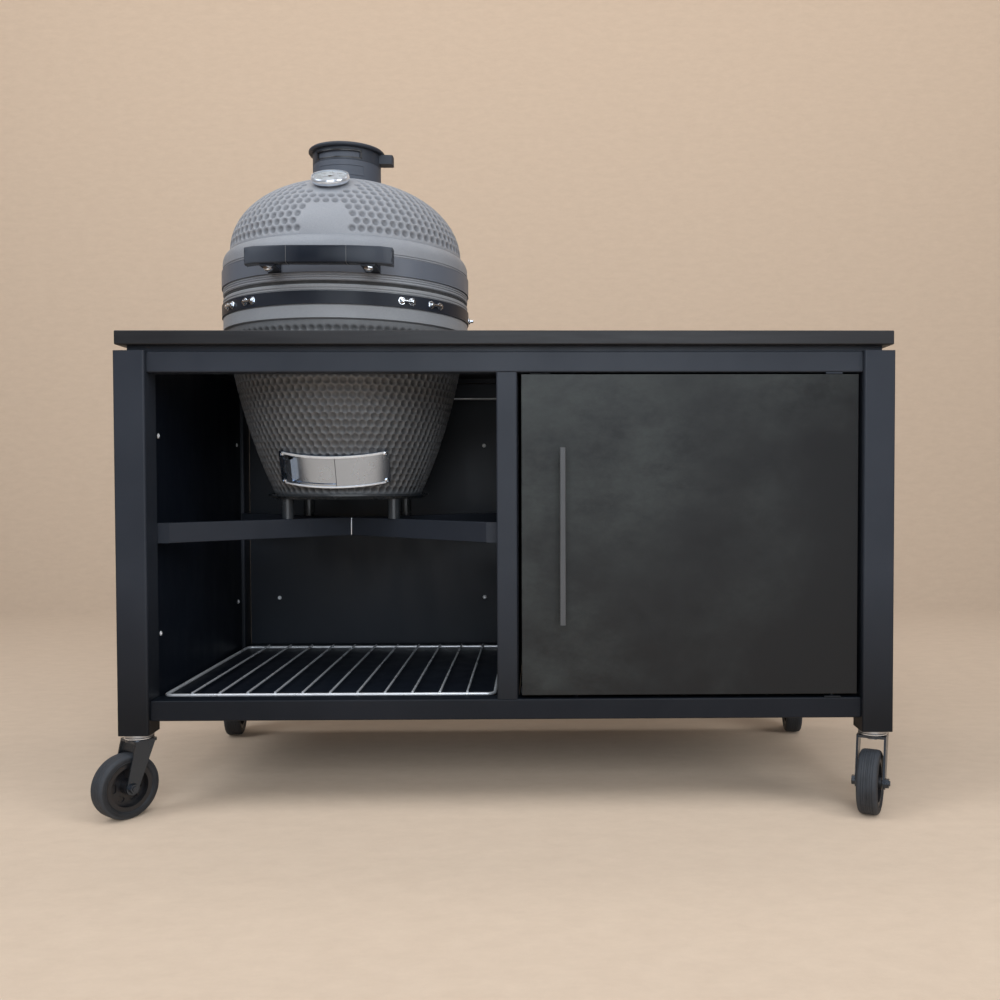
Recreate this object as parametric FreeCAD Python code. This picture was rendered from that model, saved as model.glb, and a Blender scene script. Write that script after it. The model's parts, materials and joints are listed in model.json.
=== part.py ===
import FreeCAD, Part
import math
import os

V = FreeCAD.Vector

# Outdoor kitchen: a steel table on casters that carries a ceramic kettle grill in its left bay
# and a cupboard behind a door in its right bay. Millimetres, +X right, +Y back, +Z up.
# The origin lies on the floor under the middle of the table.

# Table
table_width = 1500.0        # over the legs, along X
table_depth = 700.0         # over the legs, along Y
caster_height = 160.0       # floor to the underside of a leg
leg_length = 740.0
leg_size = 60.0
leg_wall = 3.0
leg_corner = 4.0
leg_cap = 3.0               # plate that closes a leg's top
leg_foot = 8.0              # threaded plate in a leg's bottom end
rail_size = 40.0
rail_wall = 2.0
rail_corner = 3.0
rail_setback = 10.0         # rail faces lie this far behind the leg faces
rail_groove = 2.0           # shadow gap between a rail's end and the leg
rail_plug = 10.0            # depth of the plug that closes a rail's end
bottom_rail_lift = 26.0     # leg end to the underside of the bottom rails
top_rail_drop = 1.0         # leg top to the top of the top rails
sheet = 1.5                 # steel sheet of the panels
panel_gap = 0.5             # play round a panel's edge
floor_drop = 6.0            # top of the bottom rails to the floor panels
floor_flange = 15.0
rivet_radius = 5.0
rivet_height = 2.0
rivet_rows = (185.0, 581.0)  # above the leg ends
rivet_inset_side = 30.0
rivet_inset_leg = 75.0
rivet_inset_post = 60.0
head_edge = 0.2             # straight edge of a domed head, as a part of its height
head_crown = 0.78           # middle of a domed head's crown, as a part of its radius and rise
head_flat = 0.25            # flat on a domed head's top, as a part of its radius

# Worktop
worktop_inset = 3.0         # the board ends this far inside the legs' outer faces
worktop_thickness = 27.0
worktop_edge = 2.5          # rounding of the board's edges
spacer_height = 11.0
spacer_width = 30.0
spacer_setback = 20.0
hole_clearance = 17.0       # round the kettle

# Support cross under the kettle
cross_width = 20.0
cross_height = 40.0
cross_wall = 2.0
cross_corner = 1.5
cross_lift = 302.0          # top of the bottom rails to the underside of the cross
cross_seat = 8.0            # length of the cross that bears on a leg or post

# Wire shelf
shelf_gap = 6.0             # from the nearest leg or post face, along X
shelf_front = 10.0          # from the legs' rear faces to the front wire
shelf_frame_wire = 7.0      # diameter
shelf_wire = 4.5            # diameter
shelf_spaces = 12
shelf_corner = 16.0
weld_sink = 1.0             # depth to which a welded wire sinks into the other

# Door
door_gap_side = 8.0
door_gap_top = 4.0
door_gap_bottom = 7.0
door_thickness = 20.0
door_sheet = 2.0
door_edge = 1.5             # rounding of the fold round the door's face
pivot_inset = 48.0          # door's right edge to the pivot axis
pivot_radius = 4.0
pivot_block = 16.0
pivot_engage = 2.8          # length of the pin in its bracket
bracket_thickness = 3.0
bracket_width = 32.0
handle_inset = 79.0         # door's left edge to the handle's middle
handle_width = 11.0
handle_depth = 11.0
handle_length = 338.0
handle_standoff = 30.0
handle_post = 5.0           # radius
handle_round = 1.4
handle_post_inset = 26.0
catch_size = (40.0, 14.0)
catch_inset = 17.0          # door's left edge to the catch
catch_gap = 0.5

# Casters
wheel_radius = 62.5
wheel_width = 40.0
tyre_depth = 16.5
tyre_bead = 4.0             # height of the slant from the rim to the tyre's side
tyre_shoulder = 10.0        # tread to the top of the tyre's flat side
tyre_crown = 12.0           # half the width of the tread
tyre_drop = 0.6             # fall of the tread at its edge
tyre_round = (0.3, 0.375)   # middle of the shoulder's arc, as parts of its height and width
rim_recess = 3.0            # tyre's side to the rim
hub_width = 44.0
hub_barrel = 14.0
hub_web = 8.0
hub_rim = 8.0
hub_holes = 6
hub_hole_radius = 5.0
hub_hole_length = 8.0
fork_gap = 2.0              # hub end to the fork arm
fork_arm = 4.0
fork_head = 48.0            # arm's length along the trail at the crown
fork_eye = 13.0
fork_top = (-19.0, 22.0)    # ends of an arm's upper edge, along the trail
fork_round = 8.0
crown_thickness = 5.0
race_radius = 26.0
race_height = 4.5
swivel_gap = 0.5
stem_radius = 6.0
stem_flange = 28.0
stem_flange_height = 5.0
stem_length = 20.0          # above the leg's underside
stem_head = 11.0
stem_head_height = 4.5
trail = 30.0                # wheel axle behind the swivel axis
axle_radius = 5.0
nut_radius = 9.5
nut_height = 7.0
bolt_reach = 1.3            # axle bolt's end past the fork, in nut heights
caster_turn = {"front_left": 232.0, "front_right": 244.0, "rear_left": 276.0, "rear_right": 263.0}

# Kettle grill
kettle_offset = -12.0       # from the middle of the left bay, along X
kettle_radius = 268.0       # outside of the rims
kettle_wall = 28.0
base_radius = 159.0
bowl_height = 428.0         # underside to rim
bowl_bulge = 14.0           # the side's bow out from a straight line
skirt_height = 73.0         # smooth part below the bowl's rim
skirt_step = 6.0
skirt_round = 6.0
bowl_floor = 30.0
gasket_thickness = 3.3
gasket_width = 22.0
gasket_inset = 3.0
seam_gap = 0.4
dome_step = 15.0            # from the rim's outside in to the dimpled dome
dome_base = 96.0            # lid's rim to the foot of the dome
dome_height = 167.0
dome_power = 2.1            # fullness of the dome's curve
shoulder = 29.0             # height of the rounded shoulder under the dome
shoulder_bow = (0.3, 0.55)  # middle of the shoulder's arc, as parts of its step and height
dome_lip = 2.0              # straight foot of the dome
flue_radius = 60.0
band_thickness = 2.5
bowl_band_drop = 14.0       # bowl's rim to the band's top edge
bowl_band_height = 26.0
dome_band_lift = 16.0       # lid's rim to the band's lower edge
dome_band_height = 36.0
bolt_radius = 5.0
bolt_height = 5.0
bolt_angles = (34.0, 39.0, 49.5, 55.0)
side_bolt_angle = 98.0
side_bolt_height = 12.0

# Kettle stand
stand_foot_radius = 12.5
stand_foot_length = 43.0
stand_plate = 4.0
stand_inner = 110.0
stand_seat = 6.0            # flat seat outside the bowl's base
stand_flare = 12.0
stand_lip = 7.0

# Inside the kettle
firebox_gap = 11.0
firebox_wall = 21.0
firebox_height = 205.0
firebox_top_gap = 48.0      # firebox's top to the inside of the bowl's rim
grate_ledge = 45.0          # height of the charcoal grate's seat
grate_ledge_width = 23.0
charcoal_grate_thickness = 10.0
charcoal_grate_play = 2.0
charcoal_slot = (9.0, 55.0)
charcoal_slots = 10
fire_ring_height = 100.0
fire_ring_wall = 22.0
fire_ring_overhang = 8.5    # outside of the ring past the firebox
cooking_grate_gap = 20.0    # grate to the inside of the bowl's rim
cooking_grate_wire = 3.0    # radius
cooking_bar = 2.7           # radius
cooking_grate_pitch = 27.0

# Hinge, handle and fittings of the lid
hinge_reach = 38.0          # hinge axis behind the rims
hinge_pin_radius = 5.0
hinge_eye = 12.0
hinge_ear = 8.0
hinge_half_width = 60.0     # kettle's middle to the outer face of a lower ear
hinge_play = 1.0
hinge_strap = 4.5
hinge_strap_angle = 15.0
handle_front = 60.0         # rims' outside to the handle's front
handle_bar_depth = 26.0
handle_bar_height = 34.0
handle_bar_lift = 21.5      # lid's rim to the handle's underside
handle_facets = ((58.0, 0.0), (122.0, 9.0), (144.0, 22.0))
handle_bracket_x = 98.0
handle_bracket_width = 28.0
handle_bracket_plate = 3.5
handle_tongue = 4.0
handle_nut = 7.0
handle_nut_inset = 10.5     # tongue's tip to the nut's middle
thermometer_radius = 40.0
thermometer_height = 12.0
thermometer_seat = 4.0      # neck's length above and below the dome's surface
thermometer_inset = 73.0    # dome's foot to the thermometer's middle, towards the axis
thermometer_neck = 22.0
thermometer_rim = 4.0
thermometer_round = 2.0
glass_thickness = 2.0
glass_play = 0.2
chimney_radius = 75.0
chimney_wall = 11.0
chimney_height = 37.0       # dome's top to the shoulder under the cap
sleeve_radius = 70.5
sleeve_wall = 4.5
sleeve_height = 26.0
cap_play = 0.5
cap_radius = 84.0
cap_thickness = 8.0
cap_headroom = 2.0
cap_rim = 8.0               # width of the raised rim on the cap
cap_rim_height = 2.0
cap_edge = (3.0, 2.0)       # rounding of the cap's edge, below and above
cap_edge_middle = 0.45      # height of the edge's widest place, as a part of the thickness
cut_past = 1.0              # how far a cut runs past the wall it opens
cap_window = (-50.0, 36.0)  # degrees from the front, positive to the right
cap_turn = 100.0            # degrees from closed to open
cap_window_sill = 3.0
cap_window_height = 19.0
cap_tab = (104.0, 28.0, 20.0)  # reach, width, height
cap_tab_round = 4.5

# Draft door at the bowl's foot
draft_height = 56.0         # bowl's underside to the middle of the draft door
draft_half_height = 35.0
draft_half_angle = 34.0
draft_rail = 5.0
draft_lip = 3.0
draft_post = 2.5            # degrees
draft_stand = 8.5           # outside of the frame from the bowl
draft_plate = 1.5
draft_gap = 1.5
draft_play = 0.5
draft_window = (-30.0, 2.0)  # degrees, the open half
draft_door_span = (-24.0, 6.0)
draft_tab = 3.0             # degrees
draft_tab_edge = 0.5        # degrees
draft_tab_reach = 9.0
draft_tab_gap = 2.5         # tab's end to the frame's lip
draft_hole_margin = 8.0
draft_hole_depth = 84.0     # through the bowl's slanting wall
draft_screw_radius = 4.0
draft_screw_height = 2.5

running_clearance = 0.05
thread_clearance = 0.05

# Places worked out from the sizes above
half_width = table_width / 2
half_depth = table_depth / 2
leg_bottom = caster_height
leg_top = leg_bottom + leg_length
leg_in_x = half_width - leg_size
leg_in_y = half_depth - leg_size
leg_x = half_width - leg_size / 2
leg_y = half_depth - leg_size / 2
rail_out_y = half_depth - rail_setback
rail_in_y = rail_out_y - rail_size
rail_mid_y = rail_out_y - rail_size / 2
rail_out_x = half_width - rail_setback
rail_in_x = rail_out_x - rail_size
rail_mid_x = rail_out_x - rail_size / 2
bottom_rail_under = leg_bottom + bottom_rail_lift
bottom_rail_top = bottom_rail_under + rail_size
top_rail_top = leg_top - top_rail_drop
top_rail_under = top_rail_top - rail_size
post_half = rail_size / 2
floor_top = bottom_rail_top - floor_drop
bay_middle = -(leg_in_x + post_half) / 2
worktop_under = leg_top + spacer_height
worktop_top = worktop_under + worktop_thickness
cross_under = bottom_rail_top + cross_lift
cross_top = cross_under + cross_height

kettle_x = bay_middle + kettle_offset
kettle_base = cross_top + stand_foot_length + stand_plate
bowl_rim = kettle_base + bowl_height
lid_rim = bowl_rim + 2 * gasket_thickness + seam_gap
band_radius = kettle_radius + band_thickness
dome_radius = kettle_radius - dome_step
rim_in = kettle_radius - kettle_wall
dome_foot = lid_rim + dome_base
dome_top = dome_foot + dome_height
hinge_y = kettle_radius + hinge_reach
hinge_z = (bowl_rim + lid_rim) / 2

parts = {}


def add(node, *shapes):
    """Put one or more separate solids into a node."""
    parts.setdefault(node, []).extend(shapes)


def box(x, y, z):
    return Part.makeBox(x[1] - x[0], y[1] - y[0], z[1] - z[0], V(x[0], y[0], z[0]))


def rod(radius, start, end):
    return Part.makeCylinder(radius, (end - start).Length, start, end - start)


def prism(points, depth):
    return Part.Face(Part.makePolygon(points + points[:1])).extrude(depth)


def hexagon(radius, start, end):
    """A hexagonal prism about an axis along Y."""
    corners = [math.radians(60 * i) for i in range(6)]
    points = [start + V(radius * math.cos(a), 0, radius * math.sin(a)) for a in corners]
    return prism(points, end - start)


def round_edges(shape, axis, radius):
    """Round the straight edges that run along one axis."""
    edges = [e for e in shape.Edges if abs(e.tangentAt(e.FirstParameter).dot(axis)) > 0.999]
    return shape.makeFillet(radius, edges)


def on_kettle(shape):
    """Move a shape modelled about the Z axis to the kettle's own axis."""
    shape.translate(V(kettle_x, 0, 0))
    return shape


class Outline:
    """A closed outline of radius and height that is turned about the Z axis."""

    def __init__(self, r, z):
        self.first = self.last = V(r, 0, z)
        self.edges = []

    def line(self, r, z):
        end = V(r, 0, z)
        self.edges.append(Part.makeLine(self.last, end))
        self.last = end
        return self

    def arc(self, middle, end):
        end = V(end[0], 0, end[1])
        self.edges.append(Part.Arc(self.last, V(middle[0], 0, middle[1]), end).toShape())
        self.last = end
        return self

    def curve(self, points):
        points = [V(r, 0, z) for r, z in points]
        spline = Part.BSplineCurve()
        spline.interpolate(points)
        self.edges.append(spline.toShape())
        self.last = points[-1]
        return self

    def turned(self):
        edges = self.edges + [Part.makeLine(self.last, self.first)]
        return Part.Face(Part.Wire(edges)).revolve(V(0, 0, 0), V(0, 0, 1), 360)


def ring(inner, outer, low, high):
    return Outline(inner, low).line(outer, low).line(outer, high).line(inner, high).turned()


def sector(inner, outer, low, high, start, end):
    """Part of a ring between two angles, measured from the front (-Y) towards +X."""
    face = Part.Face(Part.makePolygon([V(inner, 0, low), V(outer, 0, low), V(outer, 0, high),
                                       V(inner, 0, high), V(inner, 0, low)]))
    piece = face.revolve(V(0, 0, 0), V(0, 0, 1), end - start)
    piece.rotate(V(0, 0, 0), V(0, 0, 1), start - 90)
    return piece


def square_tube(start, end, groove):
    """A rail with closed ends. Its plugs bridge the shadow groove at both ends."""
    length = (end - start).Length
    half = rail_size / 2
    bore = half - rail_wall
    skin = box((-half, half), (-half, half), (groove, length - groove))
    skin = round_edges(skin, V(0, 0, 1), rail_corner)
    hollow = box((-bore, bore), (-bore, bore), (groove + rail_plug, length - groove - rail_plug))
    core = box((-bore, bore), (-bore, bore), (0, length))
    tube = skin.fuse(core).cut(hollow).removeSplitter()
    tube.Placement = FreeCAD.Placement(start, FreeCAD.Rotation(V(0, 0, 1), end - start))
    return tube


def make_legs():
    for side, sx in (("left", -1), ("right", 1)):
        for end, sy in (("front", -1), ("rear", 1)):
            half = leg_size / 2
            bore = half - leg_wall
            leg = box((-half, half), (-half, half), (leg_bottom, leg_top))
            leg = round_edges(leg, V(0, 0, 1), leg_corner)
            leg = leg.cut(box((-bore, bore), (-bore, bore), (leg_bottom + leg_foot, leg_top - leg_cap)))
            leg = leg.cut(rod(stem_radius + thread_clearance, V(0, 0, leg_bottom),
                              V(0, 0, leg_bottom + leg_foot)))
            leg.translate(V(sx * leg_x, sy * leg_y, 0))
            add("leg_%s_%s" % (end, side), leg)


def make_rails():
    levels = (("bottom", bottom_rail_under + rail_size / 2), ("top", top_rail_under + rail_size / 2))
    for level, z in levels:
        for end, sy in (("front", -1), ("rear", 1)):
            y = sy * rail_mid_y
            add("%s_%s_rail" % (end, level), square_tube(V(-leg_in_x, y, z), V(leg_in_x, y, z), rail_groove))
        for sx in (-1, 1):
            x = sx * rail_mid_x
            add("side_rails", square_tube(V(x, -leg_in_y, z), V(x, leg_in_y, z), rail_groove))
        add("divider_rails", square_tube(V(0, -rail_in_y, z), V(0, rail_in_y, z), 0))
    for sy in (-1, 1):
        y = sy * rail_mid_y
        add("divider_posts", square_tube(V(0, y, bottom_rail_top), V(0, y, top_rail_under), 0))


def make_panels():
    height = (bottom_rail_under, top_rail_top)
    long = leg_in_y - panel_gap
    across = leg_in_x - panel_gap
    for sx in (-1, 1):
        skin = sorted((sx * rail_in_x, sx * (rail_in_x - sheet)))
        add("side_panels", box(skin, (-long, long), height))
        span = sorted((sx * panel_gap, sx * across))
        add("back_panels", box(span, (rail_out_y, rail_out_y + sheet), height))
    deep = rail_in_y - panel_gap
    add("divider_panel", box((post_half, post_half + sheet), (-deep, deep), height))

    left = (-(rail_in_x - sheet - panel_gap), -post_half)
    right = (post_half + sheet + panel_gap, rail_in_x - sheet - panel_gap)
    for span in (left, right):
        tray = box(span, (-rail_in_y, rail_in_y), (floor_top - floor_flange, floor_top))
        tray = tray.cut(box(span, (-rail_in_y + sheet, rail_in_y - sheet),
                            (floor_top - floor_flange, floor_top - sheet)))
        for sx in (-1, 1):
            for sy in (-1, 1):
                corner_x = sorted((sx * (leg_in_x - panel_gap), sx * half_width))
                corner_y = sorted((sy * (leg_in_y - panel_gap), sy * half_depth))
                tray = tray.cut(box(corner_x, corner_y, (bottom_rail_under, bottom_rail_top)))
        add("floor_panels", tray)


def domed_head(radius, straight, height):
    """A round head on the plane z = 0: a straight edge, a rounded crown and a small flat on top."""
    rise = height - straight
    middle = (radius * head_crown, straight + rise * head_crown)
    outline = Outline(0, 0).line(radius, 0).line(radius, straight)
    return outline.arc(middle, (radius * head_flat, height)).line(0, height).turned()


def rivet(place, outward):
    """A low domed rivet head on a panel's inner face."""
    head = domed_head(rivet_radius, rivet_height * head_edge, rivet_height)
    head.Placement = FreeCAD.Placement(place, FreeCAD.Rotation(V(0, 0, 1), outward))
    return head


def make_rivets():
    skin = rail_in_x - sheet
    for row in rivet_rows:
        z = leg_bottom + row
        for sx in (-1, 1):
            for sy in (-1, 1):
                y = sy * (leg_in_y - rivet_inset_side)
                add("panel_rivets", rivet(V(sx * skin, y, z), V(-sx, 0, 0)))
            for x in (leg_in_x - rivet_inset_leg, post_half + rivet_inset_post):
                add("panel_rivets", rivet(V(sx * x, rail_out_y, z), V(0, -1, 0)))


def make_worktop():
    wide = half_width - worktop_inset
    board = box((-wide, wide), (-half_depth, half_depth), (worktop_under, worktop_top))
    board = board.makeFillet(worktop_edge, board.Edges)
    hole = kettle_radius + hole_clearance
    board = board.cut(rod(hole, V(kettle_x, 0, worktop_under), V(kettle_x, 0, worktop_top)))
    add("worktop", board)

    side = half_width - spacer_setback
    front = half_depth - spacer_setback
    height = (leg_top, worktop_under)
    for s in (-1, 1):
        along = sorted((s * front, s * (front - spacer_width)))
        add("worktop_spacers", box((-side, side), along, height))
        across = sorted((s * side, s * (side - spacer_width)))
        add("worktop_spacers", box(across, (spacer_width - front, front - spacer_width), height))


def cross_slope():
    """Rise of an arm along Y for each millimetre along X."""
    return (leg_in_y + rail_in_y) / (leg_in_x - post_half)


def cross_arm(y_left, y_right):
    """An arm from a leg at the left to a post at the right, its ends cut along X, and its hollow."""
    lean = math.atan(cross_slope())
    foot = cross_width / math.sin(lean)
    skin = cross_wall / math.sin(lean)
    left = V(-(leg_in_x + cross_seat), y_left, cross_under)
    right = V(cross_seat - post_half - foot, y_right, cross_under)
    end_wall = (right - left) * (cross_wall / abs(y_right - y_left))
    across = V(foot, 0, 0)
    arm = prism([left, left + across, right + across, right], V(0, 0, cross_height))
    arm = round_edges(arm, (right - left).normalize(), cross_corner)
    left = left + end_wall + V(skin, 0, cross_wall)
    right = right - end_wall + V(skin, 0, cross_wall)
    across = V(foot - 2 * skin, 0, 0)
    hollow = prism([left, left + across, right + across, right], V(0, 0, cross_height - 2 * cross_wall))
    return arm, hollow


def make_support_cross():
    through, through_hollow = cross_arm(-leg_in_y, rail_in_y)
    other, other_hollow = cross_arm(leg_in_y, -rail_in_y)
    add("support_cross", through.cut(through_hollow))
    for half in other.cut(through).Solids:
        add("support_cross", half.cut(other_hollow))


def wire_shelf(x_low, x_high, y_low, y_high):
    """An oven-rack shelf: a rounded frame of thick wire with thin wires welded across its top."""
    r = shelf_corner
    z = floor_top + shelf_frame_wire / 2
    near, far = y_low + r, y_high - r
    inner = ((x_low + r, near), (x_high - r, near), (x_high - r, far), (x_low + r, far))
    edges = []
    for i, (cx, cy) in enumerate(inner):
        turn = math.radians(180 + 90 * i)
        at = [V(cx + r * math.cos(turn + a), cy + r * math.sin(turn + a), z)
              for a in (0, math.pi / 4, math.pi / 2)]
        if edges:
            edges.append(Part.makeLine(edges[-1].Vertexes[-1].Point, at[0]))
        edges.append(Part.Arc(*at).toShape())
    edges.append(Part.makeLine(edges[-1].Vertexes[-1].Point, edges[0].Vertexes[0].Point))
    start = edges[0].Vertexes[0].Point
    section = Part.Wire(Part.makeCircle(shelf_frame_wire / 2, start, V(0, 1, 0)))
    shelf = Part.Wire(edges).makePipeShell([section], True, False)
    top = z + shelf_frame_wire / 2 + shelf_wire / 2 - weld_sink
    pitch = (x_high - x_low) / shelf_spaces
    overhang = shelf_wire / 4
    for i in range(1, shelf_spaces):
        x = x_low + i * pitch
        shelf = shelf.fuse(rod(shelf_wire / 2, V(x, y_low - overhang, top), V(x, y_high + overhang, top)))
    return shelf


def make_shelves():
    near = post_half + sheet + shelf_gap
    far = leg_in_x - shelf_gap
    y_low = -leg_in_y + shelf_front
    y_high = rail_in_y - shelf_front
    add("wire_shelves", wire_shelf(-far, -near, y_low, y_high))
    add("wire_shelves", wire_shelf(near, far, y_low, y_high))


def make_door():
    left = post_half + door_gap_side
    right = leg_in_x - door_gap_side
    low = bottom_rail_top + door_gap_bottom
    high = top_rail_under - door_gap_top
    front = -rail_out_y
    back = front + door_thickness
    pan = box((left, right), (front, back), (low, high))
    pan = pan.makeFillet(door_edge, [e for e in pan.Edges if e.CenterOfMass.y == front])
    pan = pan.cut(box((left + door_sheet, right - door_sheet), (front + door_sheet, back),
                      (low + door_sheet, high - door_sheet)))

    axis_x = right - pivot_inset
    axis_y = front + door_thickness / 2
    half = pivot_block / 2
    for end, rail, up in ((low, bottom_rail_top, 1), (high, top_rail_under, -1)):
        inside = end + up * door_sheet
        plate = rail + up * bracket_thickness
        tip = plate - up * pivot_engage
        block = box((axis_x - half, axis_x + half), (front + door_sheet, front + door_sheet + pivot_block),
                    sorted((inside, inside + up * pivot_block)))
        pin = rod(pivot_radius, V(axis_x, axis_y, tip), V(axis_x, axis_y, inside + up * half))
        add("door_pivots", block.fuse(pin).removeSplitter())
        pan = pan.cut(rod(pivot_radius, V(axis_x, axis_y, end), V(axis_x, axis_y, inside)))
        bracket = box((axis_x - bracket_width / 2, axis_x + bracket_width / 2), (front, -rail_in_y),
                      sorted((rail, plate)))
        bracket = bracket.cut(rod(pivot_radius + running_clearance, V(axis_x, axis_y, rail),
                                  V(axis_x, axis_y, plate)))
        add("pivot_brackets", bracket)
    add("door_panel", pan)

    grip_x = left + handle_inset
    middle = (low + high) / 2
    grip_front = front - handle_standoff - handle_depth
    bar = box((grip_x - handle_width / 2, grip_x + handle_width / 2),
              (grip_front, grip_front + handle_depth),
              (middle - handle_length / 2, middle + handle_length / 2))
    bar = round_edges(bar, V(0, 0, 1), handle_round)
    for s in (-1, 1):
        z = middle + s * (handle_length / 2 - handle_post_inset)
        bar = bar.fuse(rod(handle_post, V(grip_x, grip_front + handle_depth / 2, z), V(grip_x, front, z)))
    add("door_handle", bar.removeSplitter())

    catch_x = left + catch_inset
    add("door_catch", box((catch_x, catch_x + catch_size[0]), (back + catch_gap, -rail_in_y),
                          (top_rail_under - catch_size[1], top_rail_under)))


def wheel_turned(outline):
    """Turn an outline about Z, then lay its axis along Y."""
    shape = outline.turned()
    shape.rotate(V(0, 0, 0), V(1, 0, 0), 90)
    shape.translate(V(trail, 0, wheel_radius))
    return shape


def make_hub():
    rim_out = wheel_radius - tyre_depth
    rim_in = rim_out - hub_rim
    barrel = hub_width / 2
    web = hub_web / 2
    side = wheel_width / 2 - rim_recess
    bore = axle_radius + running_clearance
    outline = Outline(bore, -barrel).line(hub_barrel, -barrel).line(hub_barrel, -web).line(rim_in, -web)
    outline.line(rim_in, -side).line(rim_out, -side).line(rim_out, side).line(rim_in, side)
    outline.line(rim_in, web).line(hub_barrel, web).line(hub_barrel, barrel).line(bore, barrel)
    hub = wheel_turned(outline)
    mid = (hub_barrel + rim_in) / 2
    for i in range(hub_holes):
        turn = 360.0 / hub_holes * i
        hole = None
        for s in (-1, 0, 1):
            a = math.radians(turn) + s * hub_hole_length / 2 / mid
            x, z = trail + mid * math.cos(a), wheel_radius + mid * math.sin(a)
            pin = rod(hub_hole_radius, V(x, -hub_web, z), V(x, hub_web, z))
            hole = pin if hole is None else hole.fuse(pin)
        hub = hub.cut(hole)
    return hub


def make_tyre():
    inner = wheel_radius - tyre_depth
    half = wheel_width / 2
    seat = half - rim_recess
    side_top = wheel_radius - tyre_shoulder
    edge = wheel_radius - tyre_drop
    round_r = wheel_radius - tyre_shoulder * tyre_round[0]
    round_h = half - (half - tyre_crown) * tyre_round[1]
    outline = Outline(inner, -seat).line(inner + tyre_bead, -half).line(side_top, -half)
    outline.arc((round_r, -round_h), (edge, -tyre_crown)).arc((wheel_radius, 0), (edge, tyre_crown))
    outline.arc((round_r, round_h), (side_top, half)).line(inner + tyre_bead, half).line(inner, seat)
    return wheel_turned(outline)


def make_fork():
    inner = hub_width / 2 + fork_gap
    outer = inner + fork_arm
    race_top = leg_bottom - stem_flange_height - swivel_gap
    crown_top = race_top - race_height
    crown_low = crown_top - crown_thickness
    head = fork_head / 2
    fork = box((-head, head), (-outer, outer), (crown_low, crown_top))
    fork = round_edges(fork, V(0, 0, 1), fork_round)
    fork = fork.fuse(rod(race_radius, V(0, 0, crown_low), V(0, 0, race_top)))
    for s in (-1, 1):
        y = s * outer
        depth = V(0, -s * fork_arm, 0)
        arm = prism([V(fork_top[0], y, crown_top), V(fork_top[1], y, crown_top),
                     V(trail + fork_eye, y, wheel_radius), V(trail - fork_eye, y, wheel_radius)], depth)
        eye = rod(fork_eye, V(trail, y, wheel_radius), V(trail, y, wheel_radius) + depth)
        fork = fork.fuse(arm.fuse(eye))
    bore = stem_radius + running_clearance
    fork = fork.cut(rod(bore, V(0, 0, crown_low), V(0, 0, race_top)))
    near = V(trail, -outer, wheel_radius)
    far = V(trail, outer, wheel_radius)
    fork = fork.cut(rod(axle_radius, near, far))
    thick = V(0, nut_height, 0)
    axle = rod(axle_radius, near, far + thick * bolt_reach)
    axle = axle.fuse(hexagon(nut_radius, near - thick, near))
    nut = hexagon(nut_radius, far, far + thick)
    nut = nut.cut(rod(axle_radius, far, far + thick))
    return fork.removeSplitter(), axle, nut


def make_stem():
    flange_low = leg_bottom - stem_flange_height
    head_top = flange_low - swivel_gap - race_height - crown_thickness - swivel_gap
    head_low = head_top - stem_head_height
    outline = Outline(0, head_low).line(stem_head, head_low).line(stem_head, head_top)
    outline.line(stem_radius, head_top).line(stem_radius, flange_low).line(stem_flange, flange_low)
    outline.line(stem_flange, leg_bottom).line(stem_radius, leg_bottom)
    outline.line(stem_radius, leg_bottom + stem_length).line(0, leg_bottom + stem_length)
    return outline.turned()


def make_casters():
    for place, turn in caster_turn.items():
        sx = -1 if place.endswith("left") else 1
        sy = -1 if place.startswith("front") else 1
        pieces = {"caster_fork_" + place: make_fork(), "caster_hub_" + place: [make_hub()],
                  "caster_tyre_" + place: [make_tyre()], "caster_stems": [make_stem()]}
        for node, shapes in pieces.items():
            for shape in shapes:
                shape.rotate(V(0, 0, 0), V(0, 0, 1), turn)
                shape.translate(V(sx * leg_x, sy * leg_y, 0))
                add(node, shape)


def bowl_side(inset):
    """Lower end, middle and upper end of the bowl's side, moved in by an inset."""
    low = (base_radius - inset, kettle_base)
    high = (kettle_radius - skirt_step - inset, bowl_rim - skirt_height)
    lean = math.atan2(high[0] - low[0], high[1] - low[1])
    middle = ((low[0] + high[0]) / 2 + bowl_bulge * math.cos(lean),
              (low[1] + high[1]) / 2 - bowl_bulge * math.sin(lean))
    return low, middle, high


def side_circle(inset):
    """Centre and radius of the arc that the bowl's side follows."""
    circle = Part.Arc(*[V(r, 0, z) for r, z in bowl_side(inset)]).toShape().Curve
    return circle.Center, circle.Radius


def side_radius(z, inset=0.0):
    centre, radius = side_circle(inset)
    return centre.x + math.sqrt(radius ** 2 - (z - centre.z) ** 2)


def side_lean(z):
    """Angle between the bowl's side and the vertical."""
    centre, radius = side_circle(0.0)
    return math.asin((centre.z - z) / radius)


def bowl_filled():
    """The bowl's outer form, with nothing cut from it."""
    low, middle, high = bowl_side(0.0)
    skirt = bowl_rim - skirt_height
    outline = Outline(0, low[1]).line(*low).arc(middle, high).line(high[0], skirt + skirt_round / 2)
    outline.line(kettle_radius, skirt + skirt_round).line(kettle_radius, bowl_rim).line(0, bowl_rim)
    return outline.turned()


def make_bowl():
    floor = kettle_base + bowl_floor
    high = bowl_side(kettle_wall)[2]
    inside = Outline(0, floor).line(side_radius(floor, kettle_wall), floor)
    mid_z = (floor + high[1]) / 2
    inside.arc((side_radius(mid_z, kettle_wall), mid_z), high)
    inside.line(rim_in, high[1] + skirt_round).line(rim_in, bowl_rim).line(0, bowl_rim)
    bowl = bowl_filled().cut(inside.turned())
    add("kettle_bowl", on_kettle(bowl.cut(draft_hole())))


def draft_frame_axes():
    """Where the tilted axis of the draft door crosses the kettle's axis, its tilt and its radius."""
    z = kettle_base + draft_height
    lean = side_lean(z)
    radius = side_radius(z) / math.cos(lean)
    return V(0, 0, z + radius * math.sin(lean)), math.degrees(lean), radius


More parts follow.
